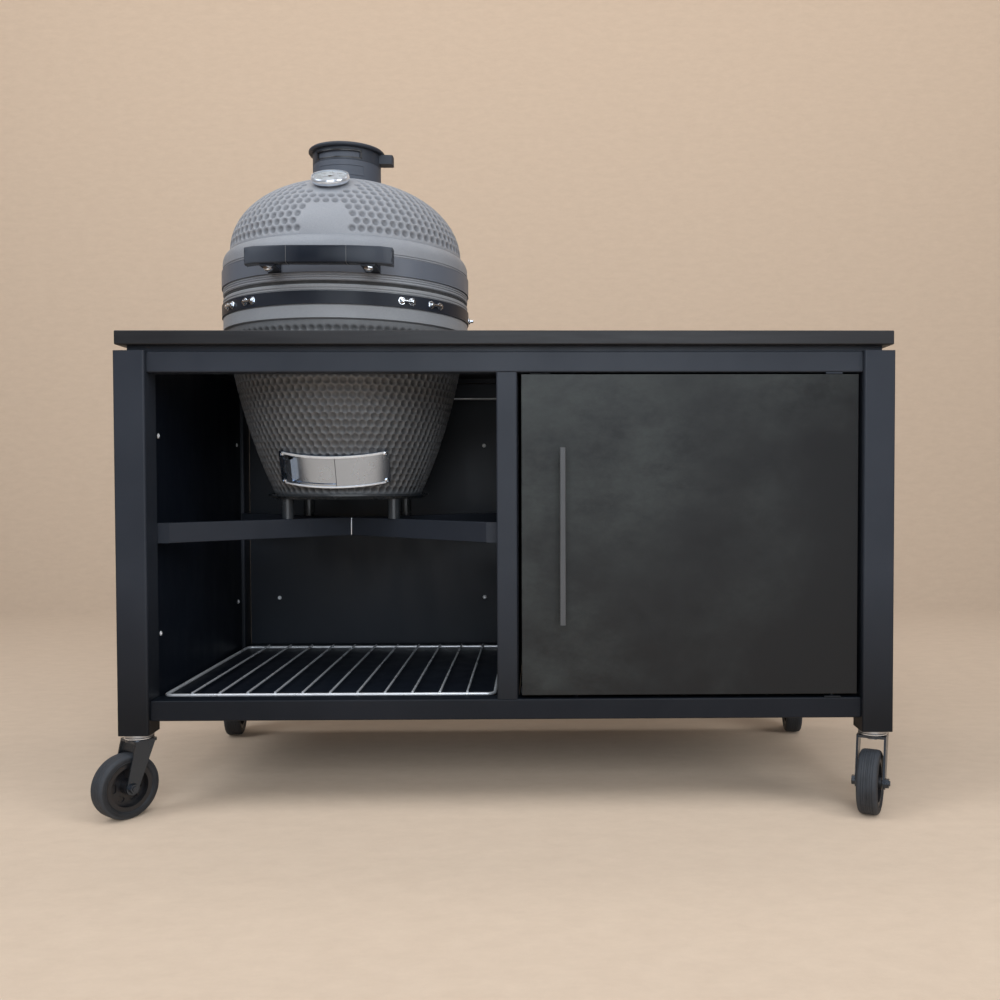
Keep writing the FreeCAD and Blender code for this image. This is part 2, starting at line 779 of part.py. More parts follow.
def tilted(shape):
    """Set a shape that was modelled about Z onto the draft door's tilted axis."""
    centre, lean, _ = draft_frame_axes()
    shape.rotate(V(0, 0, 0), V(1, 0, 0), lean)
    shape.translate(centre)
    return shape


def draft_hole():
    _, _, radius = draft_frame_axes()
    half = draft_half_height - draft_hole_margin
    inner = radius - draft_hole_depth
    return tilted(sector(inner, radius + draft_stand, -half, half, *draft_window))


def make_draft_door():
    _, _, radius = draft_frame_axes()
    outer = radius + draft_stand
    panel_in = outer - draft_plate
    door_out = panel_in - draft_gap
    door_in = door_out - draft_plate
    half = draft_half_height
    edge = half - draft_rail
    reach = draft_half_angle
    inside = radius - kettle_wall
    frame = sector(inside, outer, edge, half, -reach, reach)
    frame = frame.fuse(sector(inside, outer, -half, -edge, -reach, reach))
    frame = frame.fuse(sector(inside, outer, -half, half, -reach, draft_post - reach))
    frame = frame.fuse(sector(inside, outer, -half, half, reach - draft_post, reach))
    for s in (-1, 1):
        lip = sorted((s * (edge - draft_lip), s * half))
        frame = frame.fuse(sector(panel_in, outer, lip[0], lip[1], -reach, reach))
    frame = frame.fuse(sector(panel_in, outer, -half, half, draft_window[1], reach))
    frame = tilted(frame.removeSplitter()).cut(bowl_filled())
    add("draft_frame", on_kettle(max(frame.Solids, key=lambda s: s.Volume)))

    tall = edge - draft_play
    start, end = draft_door_span
    door = sector(door_in, door_out, -tall, tall, start, end)
    finger = edge - draft_lip - draft_tab_gap
    tip = outer + draft_tab_reach
    tab = sector(door_in, tip, -finger, finger, start, start + draft_tab_edge)
    tab = tab.fuse(sector(tip - draft_plate, tip, -finger, finger, start - draft_tab,
                          start + draft_tab_edge))
    add("draft_door", on_kettle(tilted(door.fuse(tab).removeSplitter())))

    for sx in (-1, 1):
        for sz in (-1, 1):
            screw = rod(draft_screw_radius, V(0, -outer, sz * (half - draft_rail)),
                        V(0, -outer - draft_screw_height, sz * (half - draft_rail)))
            screw.rotate(V(0, 0, 0), V(0, 0, 1), sx * (reach - draft_post))
            add("kettle_screws", on_kettle(tilted(screw)))


def dome_curve(inset, top_radius, count=12):
    """Points of the dome's side from its foot up to a radius near the top."""
    wide, tall = dome_radius - inset, dome_height - inset
    last = math.acos((top_radius / wide) ** (dome_power / 2))
    turns = [last * i / count for i in range(count + 1)]
    return [(wide * math.cos(t) ** (2 / dome_power), dome_foot + tall * math.sin(t) ** (2 / dome_power))
            for t in turns]


def dome_filled():
    step = dome_foot - shoulder
    outline = Outline(0, lid_rim).line(kettle_radius, lid_rim).line(kettle_radius, step)
    middle = (kettle_radius - dome_step * shoulder_bow[0], step + shoulder * shoulder_bow[1])
    outline.arc(middle, (dome_radius, dome_foot - dome_lip))
    outline.line(dome_radius, dome_foot).curve(dome_curve(0.0, flue_radius))
    return outline.line(0, outline.last.z).turned()


def make_dome():
    inside = Outline(0, lid_rim).line(rim_in, lid_rim).line(rim_in, dome_foot - shoulder)
    inside.line(dome_radius - kettle_wall, dome_foot).curve(dome_curve(kettle_wall, flue_radius))
    inside.line(flue_radius, dome_top).line(0, dome_top)
    add("kettle_dome", on_kettle(dome_filled().cut(inside.turned())))


def make_bands():
    top = bowl_rim - bowl_band_drop
    bowl_band = (top - bowl_band_height, top)
    low = lid_rim + dome_band_lift
    dome_band = (low, low + dome_band_height)
    add("bowl_band", on_kettle(ring(kettle_radius, band_radius, *bowl_band)))
    add("dome_band", on_kettle(ring(kettle_radius, band_radius, *dome_band)))
    gasket_out = kettle_radius - gasket_inset
    gasket_in = gasket_out - gasket_width
    add("bowl_gasket", on_kettle(ring(gasket_in, gasket_out, bowl_rim, bowl_rim + gasket_thickness)))
    add("dome_gasket", on_kettle(ring(gasket_in, gasket_out, lid_rim - gasket_thickness, lid_rim)))

    z = sum(bowl_band) / 2
    heads = [(s * a, bolt_height) for a in bolt_angles for s in (-1, 1)]
    heads += [(s * side_bolt_angle, side_bolt_height) for s in (-1, 1)]
    for angle, height in heads:
        bolt = domed_head(bolt_radius, height - bolt_radius / 2, height)
        bolt.rotate(V(0, 0, 0), V(1, 0, 0), 90)
        bolt.translate(V(0, -band_radius, z))
        foot = rod(bolt_radius, V(0, -band_radius + band_thickness, z), V(0, -band_radius, z))
        bolt = bolt.fuse(foot).cut(rod(band_radius, V(0, 0, bowl_band[0]), V(0, 0, bowl_band[1])))
        bolt.rotate(V(0, 0, 0), V(0, 0, 1), angle)
        add("kettle_screws", on_kettle(bolt.removeSplitter()))


def make_stand():
    flat = base_radius + stand_seat
    low, high = kettle_base - stand_plate, kettle_base
    plate = Outline(stand_inner, low).line(flat, low).line(flat + stand_flare, low + stand_lip)
    plate.line(flat + stand_flare, high + stand_lip).line(flat, high).line(stand_inner, high)
    add("kettle_stand", on_kettle(plate.turned()))
    lean = math.atan(cross_slope())
    reach = base_radius - stand_foot_radius + stand_seat
    for sx in (-1, 1):
        for sy in (-1, 1):
            x = kettle_x + sx * reach * math.cos(lean)
            y = sy * reach * math.sin(lean)
            add("kettle_stand", rod(stand_foot_radius, V(x, y, cross_top), V(x, y, low)))


def make_fire_parts():
    floor = kettle_base + bowl_floor
    foot = base_radius - kettle_wall - firebox_gap
    top = floor + firebox_height
    head = rim_in - firebox_top_gap
    seat = floor + grate_ledge
    spread = (head - foot) / firebox_height
    bore = foot + spread * grate_ledge - firebox_wall
    box_outline = Outline(bore - grate_ledge_width, floor).line(foot, floor).line(head, top)
    box_outline.line(head - firebox_wall, top).line(bore, seat).line(bore - grate_ledge_width, seat)
    firebox = box_outline.turned()
    half = draft_half_height - draft_hole_margin
    slot = sector(kettle_wall, draft_frame_axes()[2], -half, half, *draft_window)
    add("firebox", on_kettle(firebox.cut(tilted(slot))))

    grate_radius = bore - charcoal_grate_play
    grate = ring(charcoal_slot[0], grate_radius, seat, seat + charcoal_grate_thickness)
    width, length = charcoal_slot
    for i in range(charcoal_slots):
        slot = box((grate_radius - length - width * 2, grate_radius - width * 2), (-width / 2, width / 2),
                   (seat, seat + charcoal_grate_thickness))
        slot.rotate(V(0, 0, 0), V(0, 0, 1), 360.0 / charcoal_slots * i)
        grate = grate.cut(slot)
    add("charcoal_grate", on_kettle(grate))

    ring_top = top + fire_ring_height
    ring_out = head + fire_ring_overhang
    add("fire_ring", on_kettle(ring(ring_out - fire_ring_wall, ring_out, top, ring_top)))

    wire = cooking_grate_wire
    z = ring_top + wire
    radius = rim_in - cooking_grate_gap
    cooking = Part.makeTorus(radius, wire, V(0, 0, z))
    count = int(radius / cooking_grate_pitch)
    for i in range(-count, count + 1):
        x = i * cooking_grate_pitch
        reach = math.sqrt(radius ** 2 - x ** 2)
        cooking = cooking.fuse(rod(cooking_bar, V(x, -reach, z), V(x, reach, z)))
    add("cooking_grate", on_kettle(cooking))


def hinge_piece(eye_bore, ear_out, band_low, band_high):
    """A strap on a band's back with two ears that reach out to the hinge axis."""
    above = band_low > hinge_z
    way = 1 if above else -1
    far_edge, near_edge = (band_high, band_low) if above else (band_low, band_high)
    slant = hinge_eye / math.sqrt(2)
    start, end = 180 - hinge_strap_angle, 180 + hinge_strap_angle
    piece = sector(band_radius, band_radius + hinge_strap, band_low, band_high, start, end)
    for s in (-1, 1):
        x = s * ear_out
        depth = V(-s * hinge_ear, 0, 0)
        ear = prism([V(x, rim_in, far_edge), V(x, hinge_y + slant, hinge_z + way * slant),
                     V(x, hinge_y - slant, hinge_z - way * slant), V(x, rim_in, near_edge)], depth)
        eye = rod(hinge_eye, V(x, hinge_y, hinge_z), V(x, hinge_y, hinge_z) + depth)
        ear = ear.fuse(eye).cut(rod(eye_bore, V(x, hinge_y, hinge_z), V(x, hinge_y, hinge_z) + depth))
        piece = piece.fuse(ear)
    return piece.cut(rod(band_radius, V(0, 0, bowl_rim - bowl_height), V(0, 0, dome_top))).removeSplitter()


def make_hinge():
    top = bowl_rim - bowl_band_drop
    lower = hinge_piece(hinge_pin_radius, hinge_half_width, top - bowl_band_height, top)
    low = lid_rim + dome_band_lift
    inner = hinge_half_width - hinge_ear - hinge_play
    upper = hinge_piece(hinge_pin_radius + running_clearance, inner, low, low + dome_band_height)
    reach = hinge_half_width + hinge_play
    pin = rod(hinge_pin_radius, V(-reach, hinge_y, hinge_z), V(reach, hinge_y, hinge_z))
    add("hinge_lower", on_kettle(lower), on_kettle(pin))
    add("hinge_upper", on_kettle(upper))


def make_lid_handle():
    low = lid_rim + handle_bar_lift
    front = -(kettle_radius + handle_front)
    near = [V(x, front + back, low) for x, back in handle_facets]
    far = [V(p.x, p.y + handle_bar_depth, low) for p in reversed(near)]
    left_far = [V(-p.x, p.y, low) for p in reversed(far)]
    left_near = [V(-p.x, p.y, low) for p in reversed(near)]
    bar = prism(near + far + left_far + left_near, V(0, 0, handle_bar_height))
    add("lid_handle", on_kettle(bar))

    half = handle_bracket_width / 2
    band_low = lid_rim + dome_band_lift
    angle = math.degrees(math.asin(handle_bracket_x / band_radius))
    spread = math.degrees(half / band_radius)
    for s in (-1, 1):
        x = s * handle_bracket_x
        tip = front + handle_bar_depth / 2
        plate = sector(band_radius, band_radius + handle_bracket_plate, band_low,
                       band_low + dome_band_height, s * angle - spread, s * angle + spread)
        tongue = box((x - half, x + half), (tip, 0), (low - handle_tongue, low))
        bracket = plate.fuse(tongue).cut(rod(band_radius, V(0, 0, kettle_base), V(0, 0, dome_top)))
        add("handle_brackets", on_kettle(max(bracket.removeSplitter().Solids, key=lambda p: p.Volume)))
        under = low - handle_tongue
        nut = domed_head(handle_nut, handle_nut * head_edge, handle_nut)
        nut.rotate(V(0, 0, 0), V(1, 0, 0), 180)
        nut.translate(V(x, tip + handle_nut_inset, under))
        add("handle_brackets", on_kettle(nut))


def make_thermometer():
    reach = dome_radius - thermometer_inset
    ratio = reach / dome_radius
    left = 1 - ratio ** dome_power
    z = dome_foot + dome_height * left ** (1 / dome_power)
    fall = dome_height / dome_radius * ratio ** (dome_power - 1) / left ** ((dome_power - 1) / dome_power)
    lean = math.degrees(math.atan(fall))
    bezel_in = thermometer_radius - thermometer_rim
    top = thermometer_seat + thermometer_height
    body = Outline(0, -thermometer_seat).line(thermometer_neck, -thermometer_seat)
    body.line(thermometer_neck, thermometer_seat)
    edge = thermometer_radius - thermometer_round
    dial = top - thermometer_rim
    middle = thermometer_seat + thermometer_height / 2
    body.line(edge, thermometer_seat).arc((thermometer_radius, middle), (edge, top))
    body = body.line(bezel_in, top).line(bezel_in, dial).line(0, dial).turned()
    glass_top = top - glass_play
    glass = rod(bezel_in - glass_play, V(0, 0, glass_top - glass_thickness), V(0, 0, glass_top))
    for shape in (body, glass):
        shape.rotate(V(0, 0, 0), V(1, 0, 0), lean)
        shape.translate(V(0, -reach, z))
    body = max(body.cut(dome_filled()).Solids, key=lambda s: s.Volume)
    add("thermometer", on_kettle(body))
    add("thermometer_glass", on_kettle(glass))


def make_chimney():
    shelf = dome_top + chimney_height
    bore = chimney_radius - chimney_wall
    sleeve_in = sleeve_radius - sleeve_wall
    sleeve_top = shelf + sleeve_height
    skirt_low = shelf + cap_play
    skirt_in = sleeve_radius + cap_play
    window_low = skirt_low + cap_window_sill
    window_high = window_low + cap_window_height
    start, end = cap_window
    outline = Outline(bore, dome_foot).line(chimney_radius, dome_foot).line(chimney_radius, shelf)
    outline.line(sleeve_radius, shelf).line(sleeve_radius, sleeve_top).line(sleeve_in, sleeve_top)
    chimney = outline.line(sleeve_in, shelf).line(bore, shelf).turned()
    chimney = max(chimney.cut(dome_filled()).Solids, key=lambda s: s.Volume)
    chimney = chimney.cut(sector(sleeve_in - cut_past, sleeve_radius + cut_past, window_low, window_high,
                                 start + cap_turn, end + cap_turn))
    add("chimney", on_kettle(chimney))

    plate_low = sleeve_top + cap_headroom
    top = plate_low + cap_thickness
    plate_top = top - cap_rim_height
    under_edge, over_edge = cap_edge
    outline = Outline(0, plate_low).line(skirt_in, plate_low).line(skirt_in, skirt_low)
    outline.line(chimney_radius, skirt_low).line(chimney_radius, plate_low)
    outline.line(cap_radius - under_edge, plate_low)
    outline.arc((cap_radius, plate_low + cap_thickness * cap_edge_middle), (cap_radius - over_edge, top))
    cap = outline.line(cap_radius - cap_rim, plate_top).line(0, plate_top).turned()
    cap = cap.cut(sector(skirt_in - cut_past, chimney_radius + cut_past, window_low, window_high,
                         start, end))
    reach, width, height = cap_tab
    skirt_middle = (skirt_in + chimney_radius) / 2
    tab = box((0, reach), (-width / 2, width / 2), (plate_low - height, plate_low))
    tab = round_edges(tab, V(0, 0, 1), cap_tab_round)
    tab = tab.cut(rod(skirt_middle, V(0, 0, plate_low - height), V(0, 0, plate_low)))
    add("vent_cap", on_kettle(cap.fuse(tab).removeSplitter()))


make_legs()
make_rails()
make_panels()
make_rivets()
make_worktop()
make_support_cross()
make_shelves()
make_door()
make_casters()
make_stand()
make_bowl()
make_draft_door()
make_dome()
make_bands()
make_fire_parts()
make_hinge()
make_lid_handle()
make_thermometer()
make_chimney()

os.makedirs("parts", exist_ok=True)
for node, shapes in sorted(parts.items()):
    solids = [solid for shape in shapes for solid in shape.Solids]
    shape = solids[0] if len(solids) == 1 else Part.makeCompound(solids)
    shape.exportStep("parts/%s.step" % node)
    bounds = shape.optimalBoundingBox()
    print("%-24s %3d solids, volume %10.0f, valid %s, x %.1f to %.1f, y %.1f to %.1f, z %.1f to %.1f" % (
        node, len(solids), shape.Volume, shape.isValid(), bounds.XMin, bounds.XMax, bounds.YMin, bounds.YMax,
        bounds.ZMin, bounds.ZMax))
print(len(parts), "nodes")
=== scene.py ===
# %% [markdown]
# # An outdoor kitchen, dressed in Blender
# The object is a dark steel table on casters. A ceramic kettle grill stands in its open left bay, and a
# cupboard with one door fills the right bay. The exact solids come from CAD as a fixed frame. This lesson
# adds what a camera sees beyond them: the pressed dimples of the ceramic, the handle's seams, the dial
# behind the thermometer's glass, and a finish for every surface.

# %% Load the frame
import json
import math

import bmesh
import bpy
import numpy as np
from mathutils import Matrix, Vector


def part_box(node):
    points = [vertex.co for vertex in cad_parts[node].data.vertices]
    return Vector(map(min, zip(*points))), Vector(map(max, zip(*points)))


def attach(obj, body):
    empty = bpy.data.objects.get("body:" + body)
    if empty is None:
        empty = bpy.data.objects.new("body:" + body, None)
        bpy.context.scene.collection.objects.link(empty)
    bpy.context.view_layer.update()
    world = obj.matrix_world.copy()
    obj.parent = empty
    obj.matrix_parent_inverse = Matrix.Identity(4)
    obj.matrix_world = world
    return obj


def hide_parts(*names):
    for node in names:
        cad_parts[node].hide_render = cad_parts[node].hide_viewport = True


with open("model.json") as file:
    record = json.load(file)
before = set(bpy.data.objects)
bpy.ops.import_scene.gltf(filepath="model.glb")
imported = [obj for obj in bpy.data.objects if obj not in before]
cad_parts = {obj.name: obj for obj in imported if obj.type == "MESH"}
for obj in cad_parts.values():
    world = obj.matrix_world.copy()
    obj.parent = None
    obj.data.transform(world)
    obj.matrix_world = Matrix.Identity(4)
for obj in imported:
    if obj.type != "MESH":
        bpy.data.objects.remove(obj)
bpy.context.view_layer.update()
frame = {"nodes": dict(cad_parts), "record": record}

nodes = frame["nodes"]

# %% [markdown]
# ## Camera
# The picture was taken from in front, a little right of the middle and at two thirds of the worktop's
# height. A camera could be placed by eye, but the table's long edges allow a fitted view: its place, its
# turn and the point where its axis meets the picture were worked out from them. The shift holds what is left
# of that point, so the frame isn't tilted to follow the crop.

# %% Camera
view_place = Vector((0.058808, -2.263901, 0.651552))
view_yaw, view_pitch, view_roll = 0.0150, 0.0270, -0.0020
view_focal_px = 995.473
view_axis_px = (552.319, 506.731)
picture_px = 1000.0
sensor_mm = 36.0

ahead = Vector((math.sin(view_yaw) * math.cos(view_pitch), math.cos(view_yaw) * math.cos(view_pitch),
                -math.sin(view_pitch)))
level = Vector((math.cos(view_yaw), -math.sin(view_yaw), 0.0))
upright = level.cross(ahead)
right = level * math.cos(view_roll) + upright * math.sin(view_roll)
up = upright * math.cos(view_roll) - level * math.sin(view_roll)
lens = bpy.data.cameras.new("camera")
lens.sensor_width = sensor_mm
lens.lens = sensor_mm * view_focal_px / picture_px
lens.shift_x = (picture_px / 2 - view_axis_px[0]) / picture_px
lens.shift_y = (view_axis_px[1] - picture_px / 2) / picture_px
camera = bpy.data.objects.new("camera", lens)
bpy.context.scene.collection.objects.link(camera)
camera.matrix_world = Matrix.Translation(view_place) @ Matrix((right, up, -ahead)).transposed().to_4x4()
bpy.context.scene.camera = camera
print("camera at", [round(v, 3) for v in camera.location], "lens", round(lens.lens, 2), "mm")

# %% [markdown]
# ## Floor and light
# The object stands in open shade: soft light from above and in front, and little light inside the bays. A
# dome of even light alone would lift the bays too much. A large soft panel overhead, weaker ones in front
# and at both sides, and a dim world give the same falling-off. The floor curves up into a wall like a roll
# of beige paper, so no horizon shows, and a panel of its own keeps that wall even. The Standard view keeps
# the paper's own tone.

# %% Floor and light
floor_half, wall_y = 9.0, 2.6
sweep_radius, sweep_steps = 1.6, 24
bpy.ops.object.select_all(action="DESELECT")
bpy.ops.mesh.primitive_plane_add(size=2 * floor_half, location=(0, wall_y - floor_half, 0))
floor = bpy.context.object
floor.name = "floor"
bpy.ops.object.mode_set(mode="EDIT")
mesh_edit = bmesh.from_edit_mesh(floor.data)
for edge in mesh_edit.edges:
    edge.select_set(all(v.co.y > 0 for v in edge.verts))
bmesh.update_edit_mesh(floor.data)
bpy.ops.mesh.extrude_region_move(TRANSFORM_OT_translate={"value": (0, 0, floor_half)})
bpy.ops.mesh.select_all(action="DESELECT")
mesh_edit = bmesh.from_edit_mesh(floor.data)
for edge in mesh_edit.edges:
    edge.select_set(all(v.co.y > 0 and abs(v.co.z) < 1e-4 for v in edge.verts))
bmesh.update_edit_mesh(floor.data)
bpy.ops.mesh.bevel(offset=sweep_radius, segments=sweep_steps)
bpy.ops.object.mode_set(mode="OBJECT")
bpy.ops.object.shade_smooth()

bpy.context.scene.view_settings.view_transform = "Standard"
world = bpy.data.worlds.new("open_shade")
bpy.context.scene.world = world
world.use_nodes = True
world.node_tree.nodes["Background"].inputs["Color"].default_value = (0.82, 0.90, 1.0, 1.0)
world.node_tree.nodes["Background"].inputs["Strength"].default_value = 0.62


def soft_panel(name, place, target, size, power, colour):
    """A rectangular lamp that faces a point."""
    lamp = bpy.data.lights.new(name, "AREA")
    lamp.shape = "RECTANGLE"
    lamp.size, lamp.size_y = size
    lamp.energy = power
    lamp.color = colour
    panel = bpy.data.objects.new(name, lamp)
    bpy.context.scene.collection.objects.link(panel)
    panel.location = place
    panel.rotation_euler = (Vector(target) - Vector(place)).to_track_quat("-Z", "Y").to_euler()


soft_panel("sky_panel", (-0.2, -1.5, 3.2), (0, 0.0, 0.7), (6.0, 2.2), 92.0, (0.92, 0.96, 1.0))
soft_panel("left_panel", (-3.2, -1.8, 3.0), (-0.4, 0, 1.0), (2.0, 2.0), 40.0, (0.86, 0.93, 1.0))
soft_panel("right_panel", (3.4, -2.6, 2.2), (0.2, 0, 0.9), (2.0, 2.0), 44.0, (0.95, 0.98, 1.0))
soft_panel("front_panel", (0.2, -4.4, 2.1), (0, 0, 0.5), (2.6, 1.6), 74.0, (0.84, 0.92, 1.0))
soft_panel("low_panel", (0.2, -3.8, 0.40), (0, 0, 0.15), (3.4, 0.6), 15.0, (0.88, 0.94, 1.0))
soft_panel("wall_panel", (0, 1.0, 4.2), (0, wall_y, 0.6), (9.0, 1.0), 84.0, (1.0, 0.98, 0.96))
print("floor, world and six soft panels")

# %% [markdown]
# ## Finishes
# Every finish is built from nodes, so it has detail at any distance and needs no pictures. A few helpers
# keep each finish to a few lines: one makes the material, one adds a node with its settings, one plugs a
# value into a socket, and the rest are the small chains that every finish uses. A socket knows its own node
# tree, so a helper that starts from a socket isn't given one. Patterns read Object coordinates, which are
# metres here, so a noise scale of 400 means grains of about 2.5 mm.

# %% Helpers for finishes


def new_finish(name, colour, roughness, metallic=0.0):
    """A material with the plain values set on its shader. Returns it with its tree and shader."""
    finish = bpy.data.materials.new(name)
    finish.use_nodes = True
    tree = finish.node_tree
    shader = tree.nodes["Principled BSDF"]
    shader.inputs["Base Color"].default_value = (*colour, 1.0)
    shader.inputs["Roughness"].default_value = roughness
    shader.inputs["Metallic"].default_value = metallic
    return finish, tree, shader


def add_node(tree, kind, settings=None, **values):
    """A node of a kind, with attributes from settings and socket values by name."""
    made = tree.nodes.new("ShaderNode" + kind)
    for key, value in (settings or {}).items():
        setattr(made, key, value)
    for key, value in values.items():
        made.inputs[key.replace("_", " ")].default_value = value
    return made


def plug(source, socket):
    """Link a socket to a source, or set it where the source is a plain value."""
    if isinstance(source, bpy.types.NodeSocket):
        socket.id_data.links.new(source, socket)
    else:
        socket.default_value = source


def grain(tree, scale, detail=4.0, stretch=(1.0, 1.0, 1.0), rough=0.55):
    """Noise on the piece's own coordinates. A stretch of 10 makes the grain ten times finer that way."""
    place = add_node(tree, "TexCoord")
    mapping = add_node(tree, "Mapping", Scale=stretch)
    noise = add_node(tree, "TexNoise", Scale=scale, Detail=detail, Roughness=rough)
    plug(place.outputs["Object"], mapping.inputs["Vector"])
    plug(mapping.outputs["Vector"], noise.inputs["Vector"])
    return noise.outputs["Fac"]


def place_along(tree, way):
    """The place of a point along X, Y or Z, in metres."""
    place = add_node(tree, "TexCoord")
    split = add_node(tree, "SeparateXYZ")
    plug(place.outputs["Object"], split.inputs["Vector"])
    return split.outputs[way]


def ramp(source, low, high, start=0.3, end=0.7):
    """Spread a grey value between two colours."""
    spread = add_node(source.id_data, "ValToRGB")
    first, last = spread.color_ramp.elements
    first.position, last.position = start, end
    first.color, last.color = (*low, 1.0), (*high, 1.0)
    plug(source, spread.inputs["Fac"])
    return spread.outputs["Color"]


def spread_value(source, low, high, start=0.3, end=0.7):
    """Spread a grey value between two numbers."""
    spread = add_node(source.id_data, "MapRange", From_Min=start, From_Max=end, To_Min=low, To_Max=high)
    plug(source, spread.inputs["Value"])
    return spread.outputs["Result"]


def bump(shader, source, distance):
    """Give the surface relief from a grey value, with its depth in metres."""
    relief = add_node(source.id_data, "Bump", Strength=1.0, Distance=distance)
    plug(source, relief.inputs["Height"])
    plug(relief.outputs["Normal"], shader.inputs["Normal"])


print("helpers for finishes ready")

# %% [markdown]
# ### The paper under the object
# The floor is a matt beige sheet. A real sheet is never one flat tone, so short fibres and a fine tooth are
# drawn into it, both so faint that the floor stays plain.

# %% Backdrop paper
backdrop, tree, shader = new_finish("backdrop", (0.56, 0.44, 0.33), 0.9)
paper_fibre = grain(tree, 26.0, 9.0, (0.6, 1.0, 1.6), 0.75)
plug(ramp(paper_fibre, (0.535, 0.415, 0.313), (0.590, 0.464, 0.353)), shader.inputs["Base Color"])
bump(shader, grain(tree, 260.0, 3.0), 0.0002)
floor.data.materials.append(backdrop)
print("paper on the floor")

# %% [markdown]
# ### Coated steel
# Frame, sheets, bands, chimney and the door's handle are powder coated: a satin skin with a very fine orange
# peel. Paint in one flat colour looks like plastic, so the colour and the gloss drift a little from place to
# place, and the peel is a shallow bump. The sheets inside the bays and the bottom rails are darker copies of
# the frame's coat, which is painted shade, and the upper band is a paler copy of the lower band's, which is
# painted light. The frame is blue-black and darkens towards its feet, a painted shade, and the casters'
# forks have a dark plating, which is the same finish with more metal in it.

# %% Coated steel
foot_shade_low, foot_shade_high = 0.18, 0.48


def coated_steel(name, dark, light, rough_low, rough_high, peel=0.00004, shine=0.5, metal=0.0, foot_shade=1.0):
    """A powder coat between two tones. The last argument is the share of the tone that is left at the
    table's feet, a painted shade.
    """
    finish, tree, shader = new_finish(name, dark, rough_low, metal)
    shader.inputs["Specular IOR Level"].default_value = shine
    tone = ramp(grain(tree, 5.0, 6.0), dark, light)
    # Painted shade: the tone fades towards the table's feet.
    if foot_shade < 1.0:
        painted_foot_shade = add_node(tree, "VectorMath", {"operation": "SCALE"})
        plug(tone, painted_foot_shade.inputs[0])
        plug(spread_value(place_along(tree, "Z"), foot_shade, 1.0, foot_shade_low, foot_shade_high), painted_foot_shade.inputs["Scale"])
        tone = painted_foot_shade.outputs["Vector"]
    plug(tone, shader.inputs["Base Color"])
    smear = grain(tree, 22.0, 5.0, (1.0, 1.0, 0.35))
    plug(spread_value(smear, rough_low, rough_high), shader.inputs["Roughness"])
    bump(shader, grain(tree, 620.0, 2.0), peel)
    return finish


rough_peel = 0.00012
# The frame's coat darkens towards its feet: painted shade.
frame_coat = coated_steel("frame_coat", (0.021, 0.025, 0.034), (0.029, 0.034, 0.045), 0.34, 0.46,
                          shine=0.20, foot_shade=0.25)
# The bottom rails get a darker copy of the frame's coat: painted shade.
low_coat = coated_steel("low_coat", (0.006, 0.008, 0.012), (0.010, 0.012, 0.017), 0.36, 0.48, shine=0.16)
# The sheets inside the bays are painted nearly black: painted shade of the bays.
sheet_coat = coated_steel("sheet_coat", (0.004, 0.006, 0.011), (0.007, 0.010, 0.017), 0.34, 0.46,
                          shine=0.20)
back_coat = coated_steel("back_coat", (0.007, 0.010, 0.016), (0.010, 0.014, 0.021), 0.36, 0.46, shine=0.24)
pull_coat = coated_steel("pull_coat", (0.046, 0.048, 0.052), (0.066, 0.068, 0.073), 0.30, 0.40)
band_coat = coated_steel("band_coat", (0.013, 0.016, 0.024), (0.019, 0.023, 0.033), 0.34, 0.46, shine=0.2)
# The upper band is a paler copy of the lower band's coat: painted light.
dome_band_coat = coated_steel("dome_band_coat", (0.102, 0.114, 0.142), (0.122, 0.136, 0.165), 0.36, 0.48,
                              shine=0.3)
cap_coat = coated_steel("cap_coat", (0.046, 0.055, 0.075), (0.060, 0.070, 0.093), 0.50, 0.62, rough_peel)
vent_coat = coated_steel("vent_coat", (0.026, 0.031, 0.042), (0.036, 0.042, 0.055), 0.44, 0.56, rough_peel,
                         shine=0.3)
fork_coat = coated_steel("fork_coat", (0.050, 0.058, 0.070), (0.072, 0.082, 0.098), 0.22, 0.32, metal=0.8)
print("coated steel in ten shades")

# %% [markdown]
# ### The door's mottled skin
# The door isn't an even black. A thin grey bloom lies over it in clouds, as on hot-rolled steel under a
# clear coat. Two noises of different size are mixed for the clouds, and a gradient along the height and the
# width makes the door paler towards the upper left, which is painted light. Sums on grey values need Math
# nodes, so a helper makes those.

# %% Door skin


def corners(node):
    """The low and the high corner of a node's box."""
    low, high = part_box(node)
    return Vector(low), Vector(high)


def calculate(operation, first, *others):
    """A Math node on a grey value and on others, which may be plain numbers."""
    made = add_node(first.id_data, "Math", {"operation": operation})
    for source, socket in zip((first, *others), made.inputs):
        plug(source, socket)
    return made.outputs["Value"]


door_low, door_high = corners("door_panel")
light_upwards, light_rightwards = 0.36, -0.34
door_skin, tree, shader = new_finish("door_skin", (0.022, 0.024, 0.025), 0.36)
shader.inputs["Specular IOR Level"].default_value = 0.22
cloud = grain(tree, 3.4, 7.0, rough=0.62)
wisp = grain(tree, 11.0, 8.0, (1.0, 1.0, 1.6), 0.7)
rise = spread_value(place_along(tree, "Z"), 0.0, 1.0, door_low.z, door_high.z)
reach = spread_value(place_along(tree, "X"), 0.0, 1.0, door_low.x, door_high.x)
